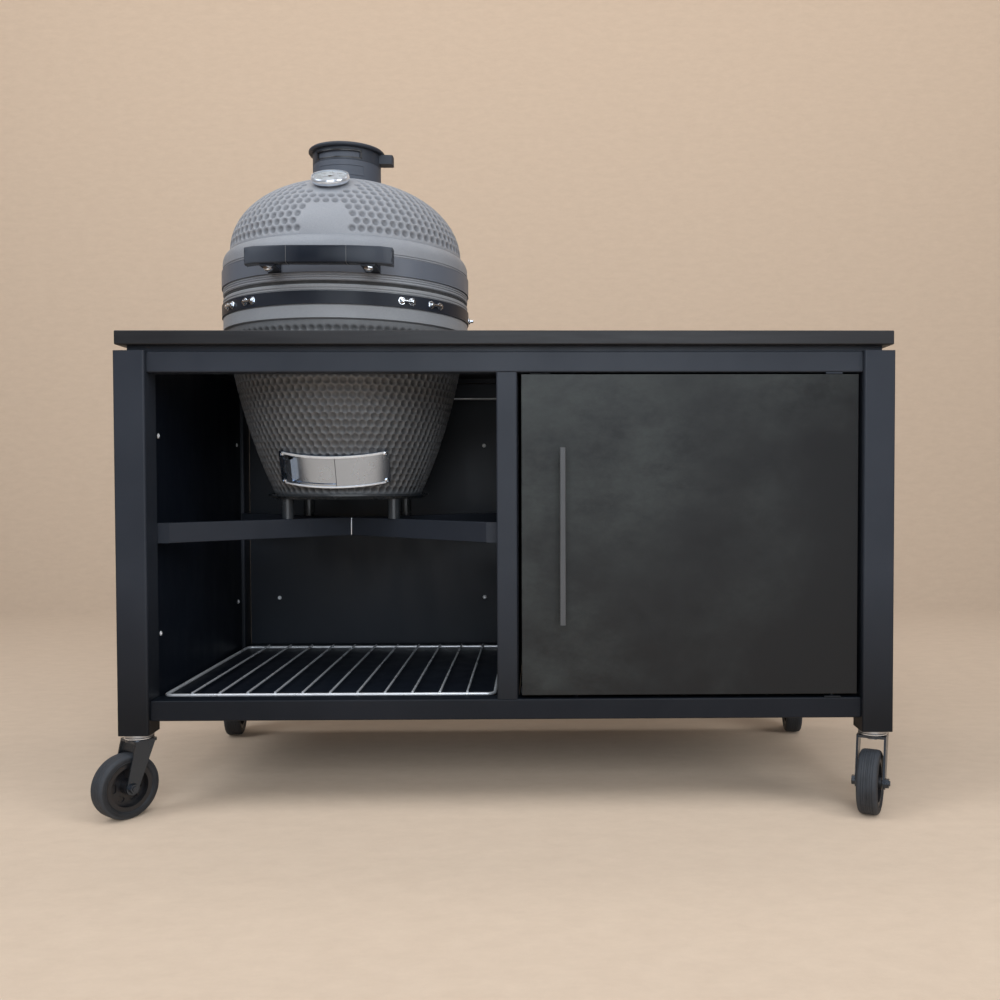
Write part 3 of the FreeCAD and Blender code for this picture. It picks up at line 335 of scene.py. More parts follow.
# Painted light: the door is made paler towards its upper left.
bloom_and_light = calculate("MULTIPLY_ADD", rise, light_upwards, cloud)
bloom_and_light = calculate("MULTIPLY_ADD", reach, light_rightwards, bloom_and_light)
bloom_and_light = spread_value(bloom_and_light, 0.0, 1.0, 0.36, 0.92)
veil_and_light = calculate("MULTIPLY", bloom_and_light, spread_value(wisp, 0.22, 1.0, 0.36, 0.64))
door_tone = ramp(veil_and_light, (0.010, 0.0105, 0.0115), (0.047, 0.054, 0.053), 0.0, 1.0)
plug(door_tone, shader.inputs["Base Color"])
plug(spread_value(wisp, 0.30, 0.44, 0.35, 0.65), shader.inputs["Roughness"])
bump(shader, grain(tree, 700.0, 2.0), 0.00003)
print("door skin mottled from", round(door_low.z, 3), "to", round(door_high.z, 3), "m")

# %% [markdown]
# ### The stained board
# The worktop is a wooden board under a nearly black stain. The grain runs along the board, so the noise is
# drawn out along X, and a finer one gives the pores. Both stay faint: at arm's length the board reads as
# satin black-brown with a brighter rounded edge.

# %% Stained board
board_stain, tree, shader = new_finish("board_stain", (0.010, 0.010, 0.012), 0.42)
shader.inputs["Specular IOR Level"].default_value = 0.35
fibre = grain(tree, 30.0, 8.0, (0.06, 1.0, 1.0), 0.65)
pore = grain(tree, 240.0, 4.0, (0.04, 1.0, 1.0))
plug(ramp(fibre, (0.005, 0.005, 0.007), (0.019, 0.019, 0.022)), shader.inputs["Base Color"])
plug(spread_value(pore, 0.36, 0.52), shader.inputs["Roughness"])
bump(shader, pore, 0.00012)
print("board stained")

# %% [markdown]
# ### Glazed stoneware
# Bowl and lid are ceramic with a matt grey glaze. Outdoors it looks bluish on top and warmer below, and that
# comes from the light. The glaze itself gets a faint speckle and a slight drift of tone. A painted shade
# darkens the dimples, driven by an attribute on each shell that says how deep its surface is pressed. The
# tone steps paler above a height, a painted light on the smooth skirt and the dome, which stand in the open,
# and the bowl's glaze is a darker copy of the lid's, a painted shade for the bay it stands in. The inside of
# the kettle is lined with bare fire clay.

# %% Glazed stoneware
lit_step = 0.006


def blend(share, first, second, kind="MIX"):
    """Blend a colour with a second one, which may be plain, by a share."""
    mixed = add_node(first.id_data, "Mix", {"data_type": "RGBA", "blend_type": kind})
    for source, socket in ((share, 0), (first, 6), (second, 7)):
        plug(source, mixed.inputs[socket])
    return mixed.outputs[2]


def mark_on(tree, name):
    """The value of a mesh attribute."""
    return add_node(tree, "Attribute", {"attribute_name": name}).outputs["Fac"]


def stoneware(name, dark, light, hollow, lit_tone, lit_from):
    """A glaze between two tones, with a painted shade in the dimples and a painted light above a height."""
    finish, tree, shader = new_finish(name, light, 0.5)
    # Painted light: above this height the tone steps to the paler one.
    above = spread_value(place_along(tree, "Z"), 0.0, 1.0, lit_from, lit_from + lit_step)
    tone = blend(above, ramp(grain(tree, 9.0, 5.0), dark, light), (*lit_tone, 1.0))
    speckle = ramp(grain(tree, 900.0, 2.0), (0.84, 0.84, 0.84), (1.06, 1.06, 1.06), 0.35, 0.6)
    tone = blend(1.0, tone, speckle, "MULTIPLY")
    # Painted shade in the dimples, by their pressed depth.
    tone = blend(mark_on(tree, "hollow"), tone, (*hollow, 1.0))
    plug(tone, shader.inputs["Base Color"])
    plug(spread_value(grain(tree, 40.0), 0.42, 0.58), shader.inputs["Roughness"])
    bump(shader, grain(tree, 500.0, 3.0), 0.00006)
    return finish


lid_glaze = stoneware("lid_glaze", (0.222, 0.233, 0.258), (0.268, 0.280, 0.305), (0.132, 0.139, 0.156),
                      (0.268, 0.279, 0.305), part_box("kettle_dome")[0][2] + 0.092)
# The bowl's glaze is a darker copy of the lid's: painted shade.
bowl_glaze = stoneware("bowl_glaze", (0.136, 0.140, 0.147), (0.174, 0.178, 0.185), (0.070, 0.072, 0.076),
                       (0.260, 0.268, 0.284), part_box("kettle_bowl")[1][2] - 0.072)
fire_clay, tree, shader = new_finish("fire_clay", (0.46, 0.37, 0.27), 0.9)
plug(ramp(grain(tree, 24.0, 8.0), (0.33, 0.26, 0.19), (0.50, 0.41, 0.31)), shader.inputs["Base Color"])
bump(shader, grain(tree, 300.0, 6.0), 0.0006)
print("three ceramic finishes")

# %% [markdown]
# ### Bright metal
# The shelf wires, the screws, the thermometer and the draft door are chromed or polished. Perfect mirrors
# look synthetic, so a fine brushed noise breaks the gloss and a few cloudy patches stand for fingerprints.
# Wires, rivets and the thermometer's rim look evenly pale from every side, as worn plating does, so they are
# part metal and part plain grey. The casters' stems are zinc plated, which is duller.

# %% Bright metal


def bright_metal(name, colour, rough_low, rough_high, brush=(1.0, 1.0, 1.0), metal=1.0):
    """A polished metal. brush stretches its fine grain, and metal under 1 makes it paler all round."""
    finish, tree, shader = new_finish(name, colour, rough_low, metal)
    smear = grain(tree, 18.0, 6.0)
    plug(spread_value(smear, rough_low, rough_high), shader.inputs["Roughness"])
    dull = tuple(0.92 * c for c in colour)
    plug(ramp(smear, dull, colour), shader.inputs["Base Color"])
    bump(shader, grain(tree, 320.0, 2.0, brush), 0.000005)
    return finish


chrome = bright_metal("chrome", (0.68, 0.73, 0.80), 0.10, 0.20)
bezel_chrome = bright_metal("bezel_chrome", (0.76, 0.83, 0.93), 0.10, 0.20, metal=0.66)
draft_steel = bright_metal("draft_steel", (0.51, 0.60, 0.73), 0.24, 0.29, (0.1, 0.1, 1.0))
zinc = bright_metal("zinc", (0.46, 0.47, 0.49), 0.30, 0.46)
bright_wire = bright_metal("bright_wire", (0.74, 0.76, 0.79), 0.24, 0.36, metal=0.48)
bare_rivet = bright_metal("bare_rivet", (0.84, 0.86, 0.89), 0.28, 0.40, metal=0.15)
print("two chromes, brushed steel, zinc, wire and rivet")

# %% [markdown]
# ### Rubber, plastic, iron and felt
# What is left is dark and dull. The hubs are moulded plastic, the charcoal grate black iron, the kettle's
# stand dark enamel, and the gaskets a felt whose fibres show as a fine noise. The tyres are grey-black
# rubber. Their tread is worn paler than the side walls, and an attribute on the tyre's mesh tells the two
# apart.

# %% Dull finishes


def dull_finish(name, dark, light, rough, scale, relief):
    """A dull finish between two tones, with a fine relief."""
    finish, tree, shader = new_finish(name, dark, rough)
    coarse = grain(tree, scale / 12.0, 5.0)
    plug(ramp(coarse, dark, light), shader.inputs["Base Color"])
    plug(spread_value(coarse, rough - 0.06, rough + 0.06), shader.inputs["Roughness"])
    bump(shader, grain(tree, scale), relief)
    return finish


tyre_rubber = dull_finish("tyre_rubber", (0.020, 0.023, 0.029), (0.036, 0.041, 0.050), 0.70, 500.0, 0.0001)
tree = tyre_rubber.node_tree
tyre_colour = tree.nodes["Principled BSDF"].inputs["Base Color"]
side_wall = ramp(grain(tree, 60.0, 5.0), (0.009, 0.010, 0.013), (0.015, 0.017, 0.021))
plug(blend(mark_on(tree, "tread"), side_wall, tyre_colour.links[0].from_socket), tyre_colour)
hub_plastic = dull_finish("hub_plastic", (0.010, 0.010, 0.012), (0.016, 0.016, 0.019), 0.34, 700.0, 0.00004)
stand_enamel = dull_finish("stand_enamel", (0.030, 0.034, 0.039), (0.042, 0.047, 0.053), 0.24, 400.0,
                           0.00003)
black_iron = dull_finish("black_iron", (0.014, 0.015, 0.017), (0.026, 0.027, 0.030), 0.52, 380.0, 0.00015)
felt = dull_finish("felt", (0.030, 0.030, 0.032), (0.060, 0.060, 0.062), 0.95, 900.0, 0.0004)
print("rubber, plastic, enamel, iron and felt")

# %% [markdown]
# ### Handle lacquer and the thermometer's glass
# The lid's handle is a blue-black moulding. Its ends are painted paler, a painted reflection where they bend
# back, so its tone follows the distance from its middle. The glass is a clear disc, and its index and its
# transmission are plain numbers on the shader.

# %% Lacquer and glass
handle_low, handle_high = corners("lid_handle")
handle_x = (handle_low.x + handle_high.x) / 2
sheen_start = 0.03
handle_lacquer, tree, shader = new_finish("handle_lacquer", (0.012, 0.015, 0.023), 0.22)
shader.inputs["Specular IOR Level"].default_value = 0.07
sweep = grain(tree, 26.0, 6.0, (0.3, 1.0, 1.0))
# Painted reflection: the tone grows paler from the middle to both ends.
aside = calculate("ABSOLUTE", calculate("SUBTRACT", place_along(tree, "X"), handle_x))
painted_end_sheen = spread_value(aside, 0.0, 0.9, sheen_start, handle_high.x - handle_x)
painted_end_sheen = calculate("MULTIPLY_ADD", sweep, 0.2, painted_end_sheen)
plug(ramp(painted_end_sheen, (0.012, 0.015, 0.022), (0.066, 0.075, 0.092), 0.05, 1.0), shader.inputs["Base Color"])
plug(spread_value(sweep, 0.16, 0.30), shader.inputs["Roughness"])
bump(shader, grain(tree, 420.0, 2.0), 0.00003)

clear_glass, tree, shader = new_finish("clear_glass", (0.95, 0.97, 0.97), 0.03)
shader.inputs["Transmission Weight"].default_value = 1.0
shader.inputs["IOR"].default_value = 1.15
plug(spread_value(grain(tree, 60.0), 0.01, 0.06), shader.inputs["Roughness"])
print("lacquer and glass")

# %% [markdown]
# ### Dial enamel and ink
# The thermometer's dial is pale, cool enamel, and its marks are a dull black print. Both are dull finishes
# with hardly any relief, so the helper for rubber and iron serves them too.

# %% Enamel and ink
dial_enamel = dull_finish("dial_enamel", (0.48, 0.51, 0.56), (0.55, 0.58, 0.63), 0.40, 300.0, 0.00001)
dial_ink = dull_finish("dial_ink", (0.012, 0.012, 0.013), (0.022, 0.022, 0.024), 0.55, 400.0, 0.00001)
print("enamel and ink")

# %% [markdown]
# ## Dressing the CAD nodes
# Each node gets one of the finishes. A table of finish to nodes is easier to read and to check than a line
# for each node, and the cell stops if a node is left bare.

# %% Dress the nodes
table_corners = ("front_left", "front_right", "rear_left", "rear_right")
dress = {
    frame_coat: ["leg_" + c for c in table_corners] + [
        "front_top_rail", "rear_top_rail", "side_rails", "divider_rails", "divider_posts",
        "support_cross", "worktop_spacers", "door_pivots", "pivot_brackets"],
    low_coat: ["front_bottom_rail", "rear_bottom_rail"],
    pull_coat: ["door_handle"],
    sheet_coat: ["side_panels", "divider_panel", "floor_panels"],
    back_coat: ["back_panels"],
    band_coat: ["bowl_band", "hinge_lower", "hinge_upper", "handle_brackets"],
    dome_band_coat: ["dome_band"],
    cap_coat: ["chimney"],
    vent_coat: ["vent_cap"],
    door_skin: ["door_panel"],
    board_stain: ["worktop"],
    lid_glaze: ["kettle_dome"],
    bowl_glaze: ["kettle_bowl"],
    fire_clay: ["firebox", "fire_ring"],
    chrome: ["panel_rivets", "kettle_screws", "cooking_grate"],
    bezel_chrome: ["thermometer"],
    bright_wire: ["wire_shelves"],
    draft_steel: ["draft_frame", "draft_door"],
    zinc: ["caster_stems"],
    fork_coat: ["caster_fork_" + c for c in table_corners],
    tyre_rubber: ["caster_tyre_" + c for c in table_corners],
    hub_plastic: ["door_catch"] + ["caster_hub_" + c for c in table_corners],
    stand_enamel: ["kettle_stand"],
    black_iron: ["charcoal_grate"],
    felt: ["bowl_gasket", "dome_gasket"],
    handle_lacquer: ["lid_handle"],
    clear_glass: ["thermometer_glass"],
}
for finish, names in dress.items():
    for name in names:
        nodes[name].data.materials.clear()
        nodes[name].data.materials.append(finish)
bare = set(nodes) - {name for names in dress.values() for name in names}
assert not bare, bare
print(len(dress), "finishes on", len(nodes), "nodes")

# %% [markdown]
# ## Modelling the pieces
# The rest of the lesson models what the plain solids lack. Every piece starts from a primitive that is
# shaped in edit mode, so a few helpers come first. One adds a primitive alone in the selection, one picks
# faces, edges or vertices by a test on their place, and one closes the work and hands the piece to a body of
# the frame, so that it moves with the lid, the table or a wheel.

# %% Helpers for modelling


def alone(piece=None):
    """Leave edit mode and make a piece the only one selected, or select none."""
    if bpy.context.object and bpy.context.object.mode == "EDIT":
        bpy.ops.object.mode_set(mode="OBJECT")
    bpy.ops.object.select_all(action="DESELECT")
    if piece:
        piece.select_set(True)
        bpy.context.view_layer.objects.active = piece


def begin(add_primitive, **settings):
    """Add a primitive, alone in the selection, put its size into its mesh and open it for editing."""
    alone()
    add_primitive(**settings)
    bpy.ops.object.transform_apply(location=True, rotation=True, scale=True)
    bpy.ops.object.mode_set(mode="EDIT")
    return bpy.context.object


def block(middle, size):
    """A block of a size round its middle, open for editing."""
    return begin(bpy.ops.mesh.primitive_cube_add, size=1.0, location=middle, scale=size)


def choose(piece, kind, test):
    """Select the open piece's faces, edges or verts that pass a test, and nothing else."""
    bpy.ops.mesh.select_mode(type={"faces": "FACE", "edges": "EDGE", "verts": "VERT"}[kind])
    bpy.ops.mesh.select_all(action="DESELECT")
    mesh_edit = bmesh.from_edit_mesh(piece.data)
    mesh_edit.normal_update()
    for part in getattr(mesh_edit, kind):
        part.select_set(bool(test(part)))
    mesh_edit.select_flush_mode()
    bmesh.update_edit_mesh(piece.data)


def runs_along_x(edge):
    """Whether an edge leads along X."""
    return abs(edge.verts[0].co.x - edge.verts[1].co.x) > 0.001


def apply_modifier(piece, kind, **settings):
    """Add a modifier with its settings and apply it at once."""
    alone(piece)
    added = piece.modifiers.new(kind.lower(), kind)
    for key, value in settings.items():
        setattr(added, key, value)
    bpy.ops.object.modifier_apply(modifier=added.name)


def soften(piece, width, degrees):
    """Round the edges that are sharper than an angle."""
    apply_modifier(piece, "BEVEL", width=width, segments=2, limit_method="ANGLE",
                   angle_limit=math.radians(degrees))


def set_down(piece, place):
    """Move a piece by a matrix and put the move into its mesh."""
    alone(piece)
    piece.matrix_world = place @ piece.matrix_world
    bpy.ops.object.transform_apply(location=True, rotation=True, scale=True)


def copy_at(pattern, spot):
    """A copy of a pattern at a spot, with its own mesh."""
    twin = pattern.copy()
    twin.data = pattern.data.copy()
    bpy.context.scene.collection.objects.link(twin)
    set_down(twin, spot)
    return twin


def copies_at(pattern, spots):
    """A copy of a pattern at each spot. The pattern itself is removed."""
    copies = [copy_at(pattern, spot) for spot in spots]
    bpy.data.objects.remove(pattern)
    return copies


def joined(pieces):
    """Join pieces into the first one."""
    alone(pieces[0])
    for piece in pieces:
        piece.select_set(True)
    bpy.ops.object.join()
    return pieces[0]


def hand_over(piece, name, finish, body, smooth=32.0):
    """Put a piece's place into its mesh, shade it, dress it and let it ride on a body."""
    alone(piece)
    bpy.ops.object.transform_apply(location=True, rotation=True, scale=True)
    bpy.ops.object.shade_smooth_by_angle(angle=math.radians(smooth))
    piece.name = name
    piece.data.name = name
    piece.data.materials.clear()
    piece.data.materials.append(finish)
    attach(piece, body)
    print(name, "has", len(piece.data.polygons), "faces")


print("helpers for modelling ready")

# %% [markdown]
# ### Turned shapes
# Bowl, lid, tyres, rivets and rings are all round about an axis. The potter's way is the shortest one: draw
# half of the section as a line and turn it. A circle with as many vertices as the section has points is laid
# on the section, vertex by vertex, and a Screw modifier turns it about Z. The spin operator would give the
# same shape, but it takes half a minute over the shells' hundreds of steps. Merging closes seam and poles.

# %% Helpers for turned shapes
on_axis, merge_gap = 0.000001, 0.000002
curve_samples = 4001


def turned(profile, steps):
    """A solid of revolution about Z from its section's points, as pairs of radius and height."""
    piece = begin(bpy.ops.mesh.primitive_circle_add, vertices=len(profile), fill_type="NOTHING")
    mesh_edit = bmesh.from_edit_mesh(piece.data)
    for vert, (r, z) in zip(mesh_edit.verts, profile):
        vert.co = (r, 0, z)
    choose(piece, "edges", lambda edge: all(abs(vert.co.x) < on_axis for vert in edge.verts))
    bpy.ops.mesh.delete(type="EDGE")
    apply_modifier(piece, "SCREW", axis="Z", angle=2 * math.pi, steps=steps, render_steps=steps,
                   use_merge_vertices=True, merge_threshold=merge_gap)
    bpy.ops.object.mode_set(mode="EDIT")
    bpy.ops.mesh.select_all(action="SELECT")
    bpy.ops.mesh.remove_doubles(threshold=merge_gap)
    bpy.ops.mesh.normals_make_consistent(inside=False)
    alone(piece)
    return piece


def run_along(points):
    """The way along a line of points up to each of them."""
    return np.concatenate(([0.0], np.cumsum(np.hypot(*np.diff(points, axis=0).T))))


def even_points(curve, gap):
    """Points of a curve, which runs from 0 to 1, that lie about a gap apart."""
    fine = np.array([curve(t) for t in np.linspace(0.0, 1.0, curve_samples)])
    run = run_along(fine)
    along = np.linspace(0.0, run[-1], round(run[-1] / gap) + 1)
    ways = [np.interp(along, run, way).tolist() for way in fine.T]
    return list(zip(*ways))


print("helpers for turned shapes ready")

# %% [markdown]
# ### The dimples
# The maker of the kettle pressed a pattern of round dimples into the soft clay, in rows that are staggered
# like a honeycomb. A bump texture would vanish at the outline and in the exported mesh, so the dimples are
# real. Cutting a thousand spheres out of the shell would be slow. Each vertex of a finely turned shell is
# moved in along the surface's normal by a dish-shaped curve of its distance from the nearest dimple, which
# is quick.

# %% Helper for dimples
on_side = 0.00005


def press_dimples(piece, side, pitch, row_gap, first_row, radius, depth, steep, is_bare=None):
    """Press rows of dishes into the side of a turned piece, given by its points.

    Pitch and row gap are measured along the surface. A steep over 1 gives the dishes a flat floor.
    """
    side = np.array(side)
    run = run_along(side)
    slope = np.gradient(side, axis=0)
    outward = np.column_stack((slope[:, 1], -slope[:, 0])) / np.hypot(*slope.T)[:, None]
    places = np.empty(len(piece.data.vertices) * 3)
    piece.data.vertices.foreach_get("co", places)
    places = places.reshape(-1, 3)
    radii = np.hypot(places[:, 0], places[:, 1])
    nearest = np.abs(side[None, :, 0] - radii[:, None]) + np.abs(side[None, :, 1] - places[:, 2, None])
    point = nearest.argmin(axis=1)
    outer = np.flatnonzero(nearest.min(axis=1) < on_side)
    point, r, z = point[outer], radii[outer], places[outer, 2]
    turn = np.arctan2(places[outer, 0], -places[outer, 1])
    dent = np.zeros(len(outer))
    pressed = 0
    for row in range(int((run[-1] - first_row - radius) / row_gap) + 1):
        along = first_row + row * row_gap
        row_r = np.interp(along, run, side[:, 0])
        row_z = np.interp(along, run, side[:, 1])
        step = 2 * math.pi / round(2 * math.pi * row_r / pitch)
        stagger = 0.5 * (row % 2)
        middle = (np.round(turn / step - stagger) + stagger) * step
        away = np.hypot((turn - middle) * r, run[point] - along) / radius
        dish = np.clip(steep * (1.0 - away ** 2), 0.0, 1.0)
        if is_bare:
            dish = np.where(is_bare(row_r * np.sin(middle), -row_r * np.cos(middle), row_z), 0.0, dish)
        dent = np.maximum(dent, dish)
        pressed += round(2 * math.pi / step)
    moved = r - depth * dent * outward[point, 0]
    places[outer, 0] = moved * np.sin(turn)
    places[outer, 1] = -moved * np.cos(turn)
    places[outer, 2] = z - depth * dent * outward[point, 1]
    piece.data.vertices.foreach_set("co", places.ravel())
    # The pressed depth is stored for the glaze, which paints shade in the dimples by it.
    hollow = np.zeros(len(places))
    hollow[outer] = dent
    piece.data.attributes.new("hollow", "FLOAT", "POINT").data.foreach_set("value", hollow)
    piece.data.update()
    print(piece.name, "takes up to", pressed, "dimples")


print("helper for dimples ready")

# %% [markdown]
# ### Measures of the kettle
# The frame gives the kettle's axis, its rims and its foot. The wall and the steps of the section are the
# same as in the solids, so that the shells fill the same space. The bowl's side is one flat arc, and the
# dome is an ellipse that is a little fuller than a true one. Fine grooves run round both rims.

# %% Measures of the kettle
chimney_low, chimney_high = corners("chimney")
bowl_low, bowl_high = corners("kettle_bowl")
axis_x = (chimney_low.x + chimney_high.x) / 2
axis_y = (chimney_low.y + chimney_high.y) / 2
kettle_axis = Matrix.Translation((axis_x, axis_y, 0))
rim_radius = round((bowl_high.x - bowl_low.x) / 2, 4)
kettle_foot, bowl_rim = bowl_low.z, bowl_high.z
lid_rim = corners("kettle_dome")[0].z
wall = 0.028
rim_inside = rim_radius - wall
rim_edge = 0.002
side_foot = Vector((0.159, kettle_foot))
side_head = Vector((rim_radius - 0.006, bowl_rim - 0.073))
side_bulge = 0.014
shoulder_out = 0.015
dome_radius = rim_radius - shoulder_out
dome_foot = lid_rim + 0.096
dome_tall = 0.167
dome_power = 2.1
flue_radius = 0.060
groove_deep, groove_wide, groove_slant = 0.0016, 0.0024, 0.0006


def side_arc(inset):
    """The bowl's side, moved in by an inset: a function from 0 at its foot to 1 at its head."""
    low, high = side_foot - Vector((inset, 0)), side_head - Vector((inset, 0))
    chord = high - low
    radius = chord.length_squared / (8 * side_bulge) + side_bulge / 2
    centre = (low + high) / 2 + Vector((chord.y, -chord.x)).normalized() * (side_bulge - radius)
    start = math.atan2(low.y - centre.y, low.x - centre.x)
    end = math.atan2(high.y - centre.y, high.x - centre.x)

    def point(part):
        turn = start + (end - start) * part
        return centre.x + radius * math.cos(turn), centre.y + radius * math.sin(turn)
    return point


def dome_arc(inset):
    """The dome's side, moved in by an inset: a function from 0 at its foot to 1 at the flue."""
    wide, tall = dome_radius - inset, dome_tall - inset
    last = math.acos((flue_radius / wide) ** (dome_power / 2))
    power = 2 / dome_power

    def point(part):
        turn = last * part
        return wide * math.cos(turn) ** power, dome_foot + tall * math.sin(turn) ** power
    return point


def rim_groove(low):
    """The four points of a fine groove in a rim, from its lower edge up."""
    inner = rim_radius - groove_deep
    return [(rim_radius, low), (inner, low + groove_slant), (inner, low + groove_wide - groove_slant),
            (rim_radius, low + groove_wide)]


print("kettle axis at", [round(v, 3) for v in kettle_axis.translation], "rim radius", rim_radius)

# %% [markdown]
# ### The lid
# The lid is a thick ceramic shell: an upright rim with fine grooves below and above its steel band, a
# rounded shoulder, and the dimpled dome up to the flue. A smooth field is left at the front and another
# round the thermometer. The section is drawn once round the wall, outside and inside, so the shell is closed
# and has its thickness.

# %% Lid shell
shoulder_low = dome_foot - 0.029
shoulder_tall = 0.027
shoulder_steps = 9
dome_side = even_points(dome_arc(0.0), 0.0022)


def shoulder_arc(part):
    """The rounded shoulder between rim and dome."""
    turn = part * math.pi / 2
    return (dome_radius + shoulder_out * math.cos(turn) ** 1.25,
            shoulder_low + shoulder_tall * math.sin(turn) ** 0.9)


lid_profile = [(rim_inside, lid_rim), (rim_radius - rim_edge, lid_rim), (rim_radius, lid_rim + rim_edge)]
for height in (0.0045, 0.0090, 0.0136, 0.0522, 0.0565):
    lid_profile += rim_groove(lid_rim + height)
lid_profile += [shoulder_arc(i / shoulder_steps) for i in range(shoulder_steps + 1)]
lid_profile += dome_side
lid_profile += list(reversed(even_points(dome_arc(wall), 0.022)))
lid_profile += [(rim_inside, shoulder_low)]
lid_shell = turned(lid_profile, 576)

gauge_reach = dome_radius - 0.073
gauge_part = 1 - (gauge_reach / dome_radius) ** dome_power
gauge_height = dome_foot + dome_tall * gauge_part ** (1 / dome_power)
gauge_lean = math.atan(dome_tall / dome_radius * (gauge_reach / dome_radius) ** (dome_power - 1)
                       / gauge_part ** ((dome_power - 1) / dome_power))
field_foot, field_head = 0.055, 0.036
field_top = dome_foot + 0.066
gauge_field = 0.050


def lid_is_bare(x, y, z):
    """Whether a dimple would fall on the smooth field at the front or round the thermometer."""
    half = field_foot + (field_head - field_foot) * (z - dome_foot) / (field_top - dome_foot)
    front = (np.abs(x) < half) & (y < 0) & (z < field_top)
    return front | (np.hypot(np.hypot(x, y + gauge_reach), z - gauge_height) < gauge_field)


press_dimples(lid_shell, dome_side, pitch=0.01875, row_gap=0.0162, first_row=0.0115, radius=0.0076,
              depth=0.0032, steep=1.7, is_bare=lid_is_bare)
set_down(lid_shell, kettle_axis)
hand_over(lid_shell, "lid_shell", lid_glaze, "lid", 40.0)
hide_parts("kettle_dome")

# %% [markdown]
# ### The bowl
# The bowl is thrown and pressed in the same way, with smaller, nearly touching dimples from its foot to the
# smooth skirt. The draft opening near its foot is cut through the finished wall with a Boolean modifier: a
# block, set at the slant of the draft door's frame, takes the window out in one clean step. The slant is
# that of the draft door's joint, which the frame gives.

# %% Bowl shell
bowl_side = even_points(side_arc(0.0), 0.0025)
skirt = side_head.y + 0.003
bowl_profile = [(0.0, kettle_foot)] + bowl_side + [(side_head.x, skirt), (rim_radius, skirt + 0.003)]
for height in (0.0274, 0.0562, 0.0610):
    bowl_profile += rim_groove(skirt + height)
bowl_profile += [(rim_radius, bowl_rim - rim_edge), (rim_radius - rim_edge, bowl_rim)]
bowl_profile += [(rim_inside, bowl_rim), (rim_inside, side_head.y + 0.006)]
bowl_floor = kettle_foot + 0.030
inner_side = [p for p in reversed(even_points(side_arc(wall), 0.025)) if p[1] > bowl_floor]
bowl_profile += inner_side + [(inner_side[-1][0] - 0.004, bowl_floor), (0.0, bowl_floor)]
bowl_shell = turned(bowl_profile, 520)
press_dimples(bowl_shell, bowl_side, pitch=0.0170, row_gap=0.0147, first_row=0.0180, radius=0.0083,
              depth=0.0036, steep=1.45)

joints = {joint["name"]: joint for joint in frame["record"]["behaviour"]["joints"]}
draft_joint = joints["draft_slide"]
draft_lean = math.atan2(-draft_joint["axis"][1], draft_joint["axis"][2])
draft_place = Matrix.Translation(draft_joint["pos_m"]) @ Matrix.Rotation(draft_lean, 4, "X")
window_low, window_high = Vector((-0.096, -0.240, -0.027)), Vector((0.004, -0.120, 0.027))
cutter = block((window_low + window_high) / 2, window_high - window_low)
set_down(cutter, draft_place)
set_down(bowl_shell, kettle_axis)
apply_modifier(bowl_shell, "BOOLEAN", object=cutter, operation="DIFFERENCE", solver="MANIFOLD")
bpy.data.objects.remove(cutter)
hand_over(bowl_shell, "bowl_shell", bowl_glaze, "table", 40.0)
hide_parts("kettle_bowl")

# %% [markdown]
# ### The lid's handle
# The handle is a long moulded bar that bends back towards both ends in flat facets. It starts as a block for
# the middle facet. Its end faces are extruded out and back twice, the long edges are bevelled, and the ends
# are inset to leave a fine lip. Two thin collars sit where the facets meet.

# %% Lid handle
handle_deep, handle_edge, handle_lip = 0.026, 0.0035, 0.004
handle_tall = handle_high.z - handle_low.z
handle_front = handle_low.y
handle_middle = handle_front + handle_deep / 2
handle_height = (handle_low.z + handle_high.z) / 2
facet_half = 0.058
facet_steps = ((0.064, 0.009), (0.022, 0.013))
handle = block((0, handle_middle, handle_height), (2 * facet_half, handle_deep, handle_tall))
for side in (-1, 1):
    choose(handle, "faces", lambda face: face.normal.x * side > 0.9)
    for out, back in facet_steps:
        bpy.ops.mesh.extrude_region_move(TRANSFORM_OT_translate={"value": (side * out, back, 0)})
choose(handle, "edges", runs_along_x)
bpy.ops.mesh.bevel(offset=handle_edge, segments=4, affect="EDGES")
choose(handle, "faces", lambda face: abs(face.normal.x) > 0.9)
bpy.ops.mesh.inset(thickness=handle_lip, depth=0.0)
bpy.ops.mesh.inset(thickness=0.001, depth=-0.001)
soften(handle, 0.0005, 30)
set_down(handle, kettle_axis)
hand_over(handle, "handle_bar", handle_lacquer, "lid")
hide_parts("lid_handle")

collar_wide, collar_proud = 0.0012, 0.0003
collar_size = (collar_wide, handle_deep + 2 * collar_proud, handle_tall + 2 * collar_proud)
for side, name in ((-1, "left"), (1, "right")):
    collar = block((side * facet_half, handle_middle, handle_height), collar_size)
    choose(collar, "edges", runs_along_x)
    bpy.ops.mesh.bevel(offset=handle_edge + collar_proud, segments=4, affect="EDGES")
    set_down(collar, kettle_axis)
    hand_over(collar, "handle_collar_" + name, pull_coat, "lid")

# %% [markdown]
# ### Nuts and screws
# The lower band is drawn together by pairs of bolts, and each shows a washer, a hexagon nut and the bolt's
# end. The nut starts as a six-sided cylinder whose face edges are bevelled. Washer and bolt end are turned.
# One set is modelled lying at the origin, and copies are set round the band. A shank ties the two bolts of a
# pair. The draft frame's corners have round heads, and the handle's brackets have cap nuts.

# %% Nuts and screws


def rotation(degrees, axis):
    """A turn about an axis, in degrees."""
    return Matrix.Rotation(math.radians(degrees), 4, axis)


def on_ring(axis, degrees, radius, height):
    """A place on a ring round an axis, at an angle from the front."""
    return axis @ rotation(degrees, "Z") @ Matrix.Translation((0, -radius, height))


